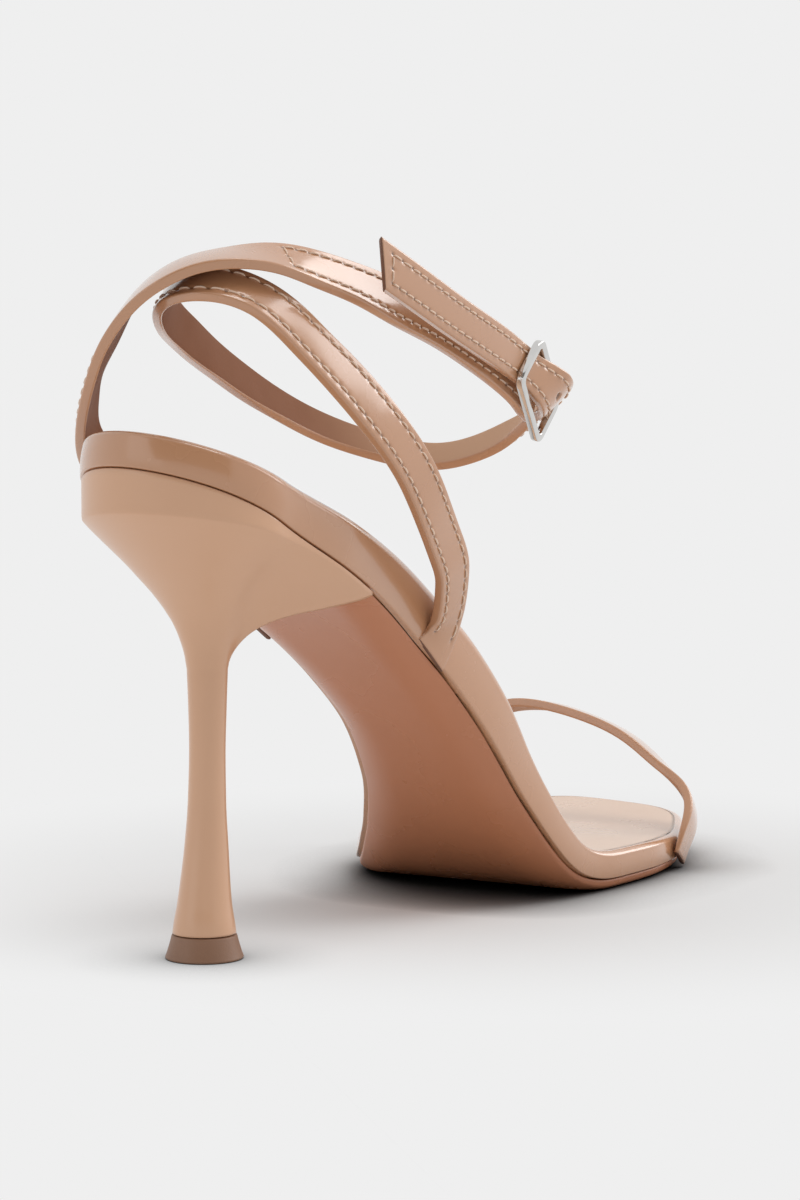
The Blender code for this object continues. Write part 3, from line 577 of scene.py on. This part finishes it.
def natural_spline(values, at, knots):
    """Natural cubic spline: the bends at the knots solve a three-banded system, each stretch is a cubic."""
    h = np.diff(knots)
    size = len(knots)
    band = np.eye(size)
    inner = np.arange(1, size - 1)
    band[inner, inner - 1], band[inner, inner], band[inner, inner + 1] = (
        h[:-1] / 6, (h[:-1] + h[1:]) / 3, h[1:] / 6)
    right = np.zeros_like(values)
    right[1:-1] = np.diff(np.diff(values, axis=0) / h[:, None], axis=0)
    bend = np.linalg.solve(band, right)
    k = np.clip(np.searchsorted(knots, at) - 1, 0, size - 2)
    a = ((knots[k + 1] - at) / h[k])[:, None]
    b = 1 - a
    return (a * values[k] + b * values[k + 1]
            + ((a ** 3 - a) * bend[k] + (b ** 3 - b) * bend[k + 1]) * (h[k] ** 2 / 6)[:, None])


def strap_line(rows, step):
    """Middle line of a strap at even steps, with its across, outward and forward directions."""
    table = np.array(rows, float)
    knots = np.concatenate([[0], np.cumsum(np.linalg.norm(np.diff(table[:, :3], axis=0), axis=1))])
    at = np.linspace(0, knots[-1], int(knots[-1] / step) + 1)
    path = natural_spline(table[:, :3], at, knots)
    facing, tilt = np.radians(natural_spline(table[:, 3:5], at, knots)).T
    width, thick = (curve_through(knots, table[:, i], at) for i in (5, 6))
    run = np.gradient(path, axis=0)
    run /= np.linalg.norm(run, axis=1)[:, None]
    face = np.stack([-np.cos(facing) * np.cos(tilt), -np.sin(facing) * np.cos(tilt), np.sin(tilt)], -1)
    face -= run * np.sum(face * run, axis=1)[:, None]
    face /= np.linalg.norm(face, axis=1)[:, None]
    along = np.concatenate([[0], np.cumsum(np.linalg.norm(np.diff(path, axis=0), axis=1))])
    return Line(along, path, np.cross(face, run), face, run, width, thick)


def strap_section(line):
    """Strip with a crowned outer face, upright folded edges with small round corners, and a flat back."""
    half = line.width[:, None] / 2
    r = line.thick[:, None] / 2
    corner = np.minimum(STRAP_CORNER, r * CORNER_SHARE)
    t = np.linspace(-1, 1, OUTER_COUNT)
    bow = np.radians(np.concatenate([np.linspace(90, 0, EDGE_COUNT // 2 + 1)[1:],
                                     np.linspace(0, -90, EDGE_COUNT // 2 + 1)[:-1]]))
    level = np.where(np.arange(EDGE_COUNT) < EDGE_COUNT // 2, 1, -1)
    edge_wide = half - corner + corner * np.cos(bow)
    edge_high = level * (r - corner) + corner * np.sin(bow)
    back = np.linspace(1, -1, INNER_COUNT)
    wide = np.concatenate([t * (half - corner), edge_wide, back * (half - corner), -edge_wide[:, ::-1]], 1)
    high = np.concatenate([r + STRAP_CROWN * (1 - t * t), edge_high, -r + 0 * back, edge_high[:, ::-1]], 1)
    return wide, high


def cut_shift(line, along, aside, up, cut):
    """Forward shift that slants an end: cut's share across the width and through the thickness, eased in."""
    slant, skew, ease = cut
    width = np.interp(along, line.along, line.width)
    near = np.clip(1 - (line.along[-1] - along) / ease, 0, 1)
    return near * (slant * aside / width + skew * up)


def strap_mesh(line, cut=SQUARE_CUT, sunk=0.0):
    """The section carried along the line, its far end slanted by the cut, its outer face sunk by needles."""
    wide, high = strap_section(line)
    high = high - sunk
    shift = cut_shift(line, line.along[:, None], wide, high, cut)
    points = (line.path[:, None] + line.across[:, None] * wide[..., None]
              + line.face[:, None] * high[..., None] + line.run[:, None] * shift[..., None])
    index = np.arange(wide.size).reshape(wide.shape)
    side = quads(wrapped(index))[:, ::-1]
    inner = np.arange(wide.shape[1])
    inner = (inner >= OUTER_COUNT + EDGE_COUNT - 1) & (inner < OUTER_COUNT + EDGE_COUNT + INNER_COUNT)
    picks = np.concatenate([np.tile(inner, len(wide) - 1).astype(int), [2, 2]])
    return points.reshape(-1, 3), side.tolist() + [tuple(index[0]), tuple(index[-1][::-1])], picks


points, faces, picks = strap_mesh(strap_line(TOE_STRAP, TOE_STEP))
toe_strap = piece("toe_strap_band", points, faces, [PATENT, LINING, CUT_EDGE], picks)
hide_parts("toe_strap")

# Ankle straps: two folded patent strips lined in brown, tucked under the insole at each side of the waist.
# They cross and are sewn together behind the heel. The long one runs on inside the loop to a loose tail,
# the other runs outside the loop and ends under the buckle. PUNCHED: spare holes near the fold.
LONG_STRAP = (
    Knot(46.6, -24.2, 57.4, 85, 0, 11.0, 0.9),
    Knot(48.7, -24.9, 60.2, 85, 0, 9.8, 1.3),
    Knot(49.6, -25.9, 63.4, 85, 0, 9.5, 1.7),
    Knot(49.3, -27.0, 66.2, 84, 0, 9.5, T),
    Knot(47.4, -28.9, 71.5, 81, 0, 9.7, T),
    Knot(45.2, -30.2, 75.3, 78, 3, 10.0, T),
    Knot(41.0, -31.1, 80.2, 74, 6, 10.0, T),
    Knot(33.8, -32.4, 87.3, 70, 10, 10.0, T),
    Knot(26.2, -32.9, 95.4, 68, 14, 10.0, T),
    Knot(15.4, -31.7, 105.4, 64, 22, 10.0, T),
    Knot(7.4, -29.1, 113.0, 58, 30, 10.0, T),
    Knot(-1.0, -25.7, 120.7, 52, 36, 9.5, T),
    Knot(-9.6, -19.7, 128.9, 42, 48, 9.5, T),
    Knot(-14.5, -12.8, 131.6, 24, 52, 9.5, T),
    Knot(-14.9, -6.2, 131.2, -10, 50, 9.0, T),
    Knot(-12.2, -0.8, 129.8, -40, 36, 8.7, T),
    Knot(-6.4, 4.0, 127.5, -57, 20, 8.6, T),
    Knot(5.6, 10.2, 124.5, -66, 6, 8.6, T),
    Knot(17.1, 14.1, 121.5, -69, 0, 8.8, T),
    Knot(29.9, 17.6, 117.9, -74, -11, 8.8, T),
    Knot(42.9, 19.7, 113.7, -78, -18, 8.8, T),
    Knot(57.4, 20.1, 108.7, -83, -28, 8.6, T),
    Knot(72.9, 17.2, 103.0, -99, -40, 8.6, T),
    Knot(83.0, 9.2, 98.9, -126, -54, 8.6, T),
    Knot(87.0, -1.0, 97.1, -169, -59, 8.6, T),
    Knot(87.4, -11.0, 98.7, -201, -50, 8.6, T),
    Knot(86.2, -20.4, 102.2, -215, -44, 8.6, T),
    Knot(83.2, -29.2, 106.5, -240, -48, 9.6, T),
    Knot(80.0, -34.7, 109.2, -256, -40, 10.2, T),
    Knot(75.6, -37.4, 110.8, -262, -30, 10.2, T),
    Knot(71.1, -37.7, 112.8, -272, -10, 9.2, T),
    Knot(66.2, -36.6, 115.5, -278, 0, 8.2, T),
    Knot(54.4, -36.0, 120.2, -283, 2, 8.7, T),
    Knot(37.9, -36.0, 125.5, -288, 2, 8.6, T),
    Knot(22.9, -35.8, 130.7, -290, 2, 8.6, T),
    Knot(9.3, -35.4, 135.5, -290, 2, 8.6, T),
)
BUCKLE_STRAP = (
    Knot(44.8, 18.3, 62.6, -104, 0, 12.6, 1.2),
    Knot(47.3, 18.4, 66.2, -104, 0, 10.6, 1.5),
    Knot(48.4, 19.3, 70.0, -100, 0, 9.5, T),
    Knot(47.3, 21.0, 74.4, -92, 0, 9.5, T),
    Knot(43.2, 23.4, 79.2, -83, 2, 9.5, T),
    Knot(34.5, 26.2, 84.6, -79, 4, 9.5, T),
    Knot(22.5, 28.2, 89.6, -75, 7, 9.5, T),
    Knot(10.0, 28.6, 94.8, -69, 10, 9.5, T),
    Knot(-0.8, 26.6, 101.0, -62, 14, 9.5, T),
    Knot(-7.8, 21.9, 107.0, -57, 20, 9.5, T),
    Knot(-12.5, 17.4, 112.0, -50, 26, 9.5, T),
    Knot(-16.2, 12.0, 117.7, -40, 44, 9.5, T),
    Knot(-18.7, 7.2, 122.9, -28, 55, 9.5, T),
    Knot(-19.9, 2.0, 128.0, -12, 62, 9.5, T),
    Knot(-19.4, -3.5, 132.0, 7, 70, 9.5, T),
    Knot(-16.8, -9.3, 135.0, 23, 75, 9.5, T),
    Knot(-11.9, -15.2, 136.4, 38, 73, 9.5, T),
    Knot(-4.8, -20.0, 136.4, 50, 58, 9.5, T),
    Knot(3.1, -23.3, 134.9, 58, 43, 9.5, T),
    Knot(12.8, -26.1, 132.5, 62, 34, 9.5, T),
    Knot(26.6, -28.4, 128.6, 66, 17, 9.5, T),
    Knot(38.9, -30.0, 125.0, 70, 10, 9.5, T),
    Knot(52.5, -31.4, 120.0, 76, 7, 9.5, T),
    Knot(63.0, -32.6, 115.2, 84, 6, 9.5, T),
    Knot(68.0, -32.7, 112.8, 90, 3, 9.5, T),
    Knot(72.4, -32.1, 110.8, 92, 0, 9.5, T),
    Knot(76.0, -31.6, 109.2, 92, 0, 9.3, T),
)
TAIL_CUT = (-5.6, 1.1, 9.0)
PUNCHED = ((75.6, -37.4, 110.8), (83.2, -29.2, 106.5))
PUNCH_RADIUS, PUNCH_DEPTH = 0.75, 0.9
STRAP_STEP = 0.42
STITCH_PITCH = 2.9
STITCH_INSET = 1.75
STITCH_START, STITCH_STOP = 5.0, 3.0
BOX_X, SEWN_GAP = -2.5, 45.0
THREAD_RADIUS, THREAD_SHARE, THREAD_TAPER = 0.20, 0.76, 0.45
THREAD_LIFT, THREAD_DIVE = 0.14, 0.36
THREAD_RINGS, THREAD_SIDES = 9, 6
TROUGH_DEPTH, TROUGH_LONG, TROUGH_WIDE = 0.08, 1.2, 0.5
PIT_DEPTH, PIT_RADIUS, PIT_POWER = 0.26, 0.32, 1.5
NEEDLE_REACH, OUTER_FROM = 1.6, 0.3


def stitch_run(line, start, end, closed):
    """Needle holes of a run as along and across distances: up one side, over at the end, down the other."""
    count = int(round((end - start) / STITCH_PITCH)) + 1
    along = np.linspace(start, end, count)
    side = np.interp(along, line.along, line.width) / 2 - STITCH_INSET
    steps = max(int(round(2 * side[-1] / STITCH_PITCH)), 1)
    over = np.linspace(-1, 1, steps + 1)[1:-1]
    runs = [np.stack([along, -side], -1), np.stack([end + 0 * over, over * side[-1]], -1),
            np.stack([along, side], -1)[::-1]]
    if closed:
        runs += [np.stack([start + 0 * over, -over * side[0]], -1), runs[0][:1]]
    return np.concatenate(runs)


def sunk_by_needle(line, runs, punched=()):
    """Depth pressed into the outer face and a mark of its holes: gaussians round needle and punched holes."""
    wide, high = strap_section(line)
    sunk = np.zeros_like(wide)
    mark = np.zeros_like(wide)
    for hole in np.concatenate(runs):
        near = np.abs(line.along - hole[0]) < NEEDLE_REACH
        ahead = line.along[near, None] - hole[0]
        aside = wide[near] - hole[1]
        on = high[near] > OUTER_FROM
        pit = np.exp(-(ahead ** 2 + aside ** 2) / PIT_RADIUS ** 2) * on
        trough = np.exp(-(ahead / TROUGH_LONG) ** 2 - (aside / TROUGH_WIDE) ** 2) * on
        sunk[near] = np.maximum(sunk[near], PIT_DEPTH * pit + TROUGH_DEPTH * trough)
        mark[near] = np.maximum(mark[near], pit ** PIT_POWER)
    for spot in punched:
        ahead = line.along - line.along[np.argmin(np.linalg.norm(line.path - spot, axis=1))]
        hole = np.exp(-((ahead[:, None] ** 2 + wide ** 2) / PUNCH_RADIUS ** 2) ** 2) * (high > OUTER_FROM)
        sunk = np.maximum(sunk, PUNCH_DEPTH * hole)
        mark = np.maximum(mark, hole)
    return sunk, mark


def marked(made, mark):
    """Stores the hole mark of each point on the mesh, where the patent's colour takes painted shade."""
    store = made.data.attributes.new("needle_pit", "FLOAT", "POINT")
    store.data.foreach_set("value", mark.astype(np.float32).ravel())
    return made


def thread_mesh(line, runs, cut=SQUARE_CUT):
    """Each stitch is a short tube between two holes that bows up in its middle and dives at its ends."""
    holes = np.concatenate([np.stack([r[:-1], r[1:]], 1) for r in runs])
    w = np.linspace(0, 1, THREAD_RINGS)
    share = 0.5 + (w[:, None] - 0.5) * THREAD_SHARE
    spot = holes[:, :1] * (1 - share) + holes[:, 1:] * share
    along, aside = spot[..., 0], spot[..., 1]

    def read(values):
        """Rows of the line at each spot, by straight steps between them."""
        return np.stack([np.interp(along, line.along, v) for v in values.T], -1)

    path, across, face, run = read(line.path), read(line.across), read(line.face), read(line.run)
    half = np.interp(along, line.along, line.thick) / 2
    lift = half + STRAP_CROWN / 2 + THREAD_LIFT - THREAD_DIVE * np.abs(2 * w - 1) ** 4
    shift = cut_shift(line, along, aside, lift, cut)
    centre = path + across * aside[..., None] + face * lift[..., None] + run * shift[..., None]
    step = (holes[:, 1] - holes[:, 0])[:, None]
    step = step / np.linalg.norm(step, axis=-1, keepdims=True)
    aim = run * step[..., :1] + across * step[..., 1:]
    side = np.cross(face, aim)
    turn = np.linspace(0, 2 * np.pi, THREAD_SIDES, endpoint=False)
    radius = THREAD_RADIUS * (1 - THREAD_TAPER * np.abs(2 * w - 1) ** 6)[None, :, None, None]
    ring = (centre[:, :, None] + radius * (side[:, :, None] * np.cos(turn)[:, None]
                                           + face[:, :, None] * np.sin(turn)[:, None]))
    count, rings, sides = ring.shape[:3]
    index = np.arange(count * rings * sides).reshape(count, rings, sides)
    loop = np.concatenate([index, index[..., :1]], 2)
    faces = np.stack([loop[:, :-1, :-1], loop[:, :-1, 1:], loop[:, 1:, 1:], loop[:, 1:, :-1]], -1)
    caps = index[:, 0, ::-1].tolist() + index[:, -1].tolist()
    return ring.reshape(-1, 3), faces.reshape(-1, 4)[:, ::-1].tolist() + caps


THREAD = surface("stitch_thread", (0.78, 0.58, 0.44), (0.70, 0.50, 0.37), (900, 1500, 4000), 0.6,
                 (0.50, 0.62), (0.3, 0.2), 0.0)

long_line = strap_line(LONG_STRAP, STRAP_STEP)
long_runs = [stitch_run(long_line, STITCH_START, long_line.along[-1] - STITCH_STOP, False)]
sunk, mark = sunk_by_needle(long_line, long_runs, PUNCHED)
points, faces, picks = strap_mesh(long_line, TAIL_CUT, sunk)
long_strap = marked(piece("ankle_strap_long", points, faces, [PATENT, LINING, CUT_EDGE],
                          picks), mark)
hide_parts("ankle_strap")
points, faces = thread_mesh(long_line, long_runs, TAIL_CUT)
piece("ankle_strap_long_stitches", points, faces, [THREAD])

buckle_line = strap_line(BUCKLE_STRAP, STRAP_STEP)
half_way = len(buckle_line.path) // 2
box_start = np.interp(BOX_X, buckle_line.path[half_way:, 0], buckle_line.along[half_way:])
buckle_runs = [stitch_run(buckle_line, box_start, buckle_line.along[-1] - STITCH_STOP, True),
               stitch_run(buckle_line, STITCH_START, box_start - SEWN_GAP, False)]
sunk, mark = sunk_by_needle(buckle_line, buckle_runs)
points, faces, picks = strap_mesh(buckle_line, sunk=sunk)
marked(piece("ankle_strap_buckle_side", points, faces, [PATENT, LINING, CUT_EDGE], picks),
       mark)
points, faces = thread_mesh(buckle_line, buckle_runs)
piece("ankle_strap_buckle_side_stitches", points, faces, [THREAD])

# Buckle: a rectangular frame bent from flat polished wire, held in the end of the shorter strap.
# The long strap comes up over its front bar and goes back under its rear bar.
BACK_BAR = np.array([63.2, -38.3, 117.7])
FRONT_BAR = np.array([78.6, -33.9, 105.0])
BAR_RISE = np.array([0.757, -0.05, 0.655])
BUCKLE_WIDTH = 10.8
BUCKLE_CORNER = 2.0
WIRE_WIDE, WIRE_DEEP, WIRE_POWER = 0.88, 0.80, 0.32
CORNER_STEPS, WIRE_SIDES = 12, 28
NICKEL = surface("buckle_nickel", (0.74, 0.73, 0.71), (0.62, 0.61, 0.60), (400, 200, 4000), 0.3,
                 (0.04, 0.10), (0.05, 0.1), 0.0)
NICKEL.node_tree.nodes["Principled BSDF"].inputs["Metallic"].default_value = 1.0


def buckle_mesh():
    """A superellipse wire section carried round a rectangle whose corners are quarter circles."""
    run = FRONT_BAR - BACK_BAR
    length = np.linalg.norm(run)
    run = run / length
    rise = BAR_RISE - run * np.dot(BAR_RISE, run)
    rise = rise / np.linalg.norm(rise)
    out = np.cross(rise, run)
    turn = np.radians(np.linspace(0, 90, CORNER_STEPS))
    start = np.repeat(np.radians([0, 90, 180, 270]), len(turn))
    angle = start + np.tile(turn, 4)
    sign = np.repeat([[1, 1], [-1, 1], [-1, -1], [1, -1]], len(turn), axis=0)
    room = np.array([length / 2 - BUCKLE_CORNER, BUCKLE_WIDTH / 2 - BUCKLE_CORNER])
    away = np.stack([np.cos(angle), np.sin(angle)], -1)
    flat = sign * room + BUCKLE_CORNER * away
    middle = (BACK_BAR + FRONT_BAR) / 2 + flat[:, :1] * run + flat[:, 1:] * rise
    outward = away[:, :1] * run + away[:, 1:] * rise
    around = np.linspace(0, 2 * np.pi, WIRE_SIDES, endpoint=False)
    wide = np.sign(np.cos(around)) * np.abs(np.cos(around)) ** WIRE_POWER * WIRE_WIDE
    deep = np.sign(np.sin(around)) * np.abs(np.sin(around)) ** WIRE_POWER * WIRE_DEEP
    rings = middle[:, None] + outward[:, None] * wide[:, None] + out * deep[:, None]
    index = np.arange(rings[..., 0].size).reshape(rings.shape[:2])
    closed = wrapped(np.concatenate([index, index[:1]], 0))
    return rings.reshape(-1, 3), quads(closed).tolist()


points, faces = buckle_mesh()
buckle = piece("buckle_frame_polished", points, faces, [NICKEL])
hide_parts("buckle_frame")

# Studio: a pale sheet flat under the shoe, soft lights round it and a dark card above the viewer.
# The view is from behind the shoe, on its outer side, a little above the seat.
PAPER_GLOW, PAPER_NEAR = 0.863, 0.67
SHEET_HALF, SHEET_DROP = 6.0, 5e-5
GLOW_CENTRE, GLOW_FROM, GLOW_TO = (0.125, 0.0, 0.0), 0.05, 0.17
SHADE_REACH, SHADE_POWER, SHADE_SAMPLES = 0.022, 1.6, 8
sheet = bpy.data.meshes.new("studio_sheet")
CORNERS = ((-1, -1), (1, -1), (1, 1), (-1, 1))
sheet.from_pydata([(x * SHEET_HALF, y * SHEET_HALF, -SHEET_DROP) for x, y in CORNERS], [], [(0, 1, 2, 3)])
paper = bpy.data.materials.new("studio_paper")
paper.use_nodes = True
add, link = paper.node_tree.nodes.new, paper.node_tree.links.new
shader = paper.node_tree.nodes["Principled BSDF"]
where, far = add("ShaderNodeTexCoord"), add("ShaderNodeMapRange")
shoe, away = add("ShaderNodeVectorMath"), add("ShaderNodeVectorMath")
shoe.operation, away.operation, far.interpolation_type = "SUBTRACT", "LENGTH", "SMOOTHSTEP"
shoe.inputs[1].default_value = GLOW_CENTRE
far.inputs["From Min"].default_value, far.inputs["From Max"].default_value = GLOW_FROM, GLOW_TO
link(where.outputs["Object"], shoe.inputs[0])
link(shoe.outputs["Vector"], away.inputs[0])
link(away.outputs["Value"], far.inputs["Value"])
# Painted shadow: an occlusion term multiplies the sheet's colour and glow, darkening it under and beside the
# shoe.
open_sky, deep = add("ShaderNodeAmbientOcclusion"), add("ShaderNodeMath")
open_sky.inputs["Distance"].default_value = SHADE_REACH
open_sky.samples = SHADE_SAMPLES
deep.operation = "POWER"
deep.inputs[1].default_value = SHADE_POWER
link(open_sky.outputs["AO"], deep.inputs[0])
for name, near_tone, far_tone in (("Base Color", PAPER_NEAR, 0.0), ("Emission Color", 0.0, PAPER_GLOW)):
    tone = add("ShaderNodeMix")
    tone.data_type = "RGBA"
    tone.inputs["A"].default_value = (near_tone, near_tone, near_tone, 1)
    tone.inputs["B"].default_value = (far_tone, far_tone, far_tone, 1)
    shade = add("ShaderNodeMix")
    shade.data_type, shade.blend_type = "RGBA", "MULTIPLY"
    shade.inputs["Factor"].default_value = 1.0
    link(far.outputs["Result"], tone.inputs["Factor"])
    link(tone.outputs["Result"], shade.inputs["A"])
    link(deep.outputs["Value"], shade.inputs["B"])
    link(shade.outputs["Result"], shader.inputs[name])
shader.inputs["Emission Strength"].default_value = 1.0
shader.inputs["Roughness"].default_value = 0.9
shader.inputs["Specular IOR Level"].default_value = 0.0
sheet.materials.append(paper)
floor = bpy.data.objects.new("studio_sheet", sheet)
bpy.context.scene.collection.objects.link(floor)

world = bpy.data.worlds.new("studio_room")
bpy.context.scene.world = world
world.use_nodes = True
world.node_tree.nodes["Background"].inputs["Color"].default_value = (1.0, 1.0, 1.0, 1)
world.node_tree.nodes["Background"].inputs["Strength"].default_value = PAPER_GLOW

Lamp = namedtuple("Lamp", "name toward distance size power")
LAMPS = (
    Lamp("softbox_right", (0.765, -0.441, 0.469), 4.0, (2.6, 2.4), 59.0),
    Lamp("softbox_left", (-0.873, 0.294, 0.390), 4.0, (3.0, 3.0), 12.0),
    Lamp("softbox_top", (0.10, -0.30, 0.95), 3.0, (1.3, 1.3), 22.0),
)
AIM = np.array([0.04, 0, 0.08])


def turned(toward, distance):
    """Place of a flat thing at a distance from the shoe, its own Z looking away along the direction."""
    back = np.array(toward) / np.linalg.norm(toward)
    side = np.cross([0, 0, 1.0], back)
    side = side / np.linalg.norm(side)
    matrix = np.eye(4)
    matrix[:3, 0], matrix[:3, 1], matrix[:3, 2] = side, np.cross(back, side), back
    matrix[:3, 3] = AIM + back * distance
    return Matrix(matrix.tolist())


for lamp in LAMPS:
    data = bpy.data.lights.new(lamp.name, "AREA")
    data.shape = "RECTANGLE"
    data.size, data.size_y = lamp.size
    data.energy = lamp.power
    thing = bpy.data.objects.new(lamp.name, data)
    thing.matrix_world = turned(lamp.toward, lamp.distance)
    bpy.context.scene.collection.objects.link(thing)

CARD_TOWARD, CARD_DISTANCE = (-0.857, -0.511, 0.66), 1.6
CARD_HALF = (1.3, 0.7)
FELT_TONE = (0.20, 0.19, 0.18, 1)
card_mesh = bpy.data.meshes.new("dark_card")
card_mesh.from_pydata([(x * CARD_HALF[0], y * CARD_HALF[1], 0) for x, y in CORNERS], [], [(0, 3, 2, 1)])
felt = bpy.data.materials.new("dark_felt")
felt.use_nodes = True
felt.node_tree.nodes["Principled BSDF"].inputs["Base Color"].default_value = FELT_TONE
felt.node_tree.nodes["Principled BSDF"].inputs["Roughness"].default_value = 0.9
card_mesh.materials.append(felt)
card = bpy.data.objects.new("dark_card", card_mesh)
card.matrix_world = turned(CARD_TOWARD, CARD_DISTANCE)
bpy.context.scene.collection.objects.link(card)

CAMERA_AT = np.array([-494.476, -339.844, 111.203])
CAMERA_YAW, CAMERA_PITCH = np.radians([30.8182, -3.8778])
FOCAL_PIXELS = 3069.397
PHOTO_HEIGHT = 1200
CLIP_NEAR, CLIP_FAR = 0.01, 20
look = np.array([np.cos(CAMERA_PITCH) * np.cos(CAMERA_YAW), np.cos(CAMERA_PITCH) * np.sin(CAMERA_YAW),
                 np.sin(CAMERA_PITCH)])
right = np.array([np.sin(CAMERA_YAW), -np.cos(CAMERA_YAW), 0.0])
lens = bpy.data.cameras.new("photo_camera")
lens.lens = FOCAL_PIXELS / PHOTO_HEIGHT * lens.sensor_width
lens.clip_start, lens.clip_end = CLIP_NEAR, CLIP_FAR
camera = bpy.data.objects.new("photo_camera", lens)
matrix = np.eye(4)
matrix[:3, 0], matrix[:3, 1], matrix[:3, 2] = right, np.cross(right, look), -look
matrix[:3, 3] = CAMERA_AT * MM
camera.matrix_world = Matrix(matrix.tolist())
bpy.context.scene.collection.objects.link(camera)
bpy.context.scene.camera = camera
bpy.context.scene.view_settings.view_transform = "Standard"

bpy.context.view_layer.update()
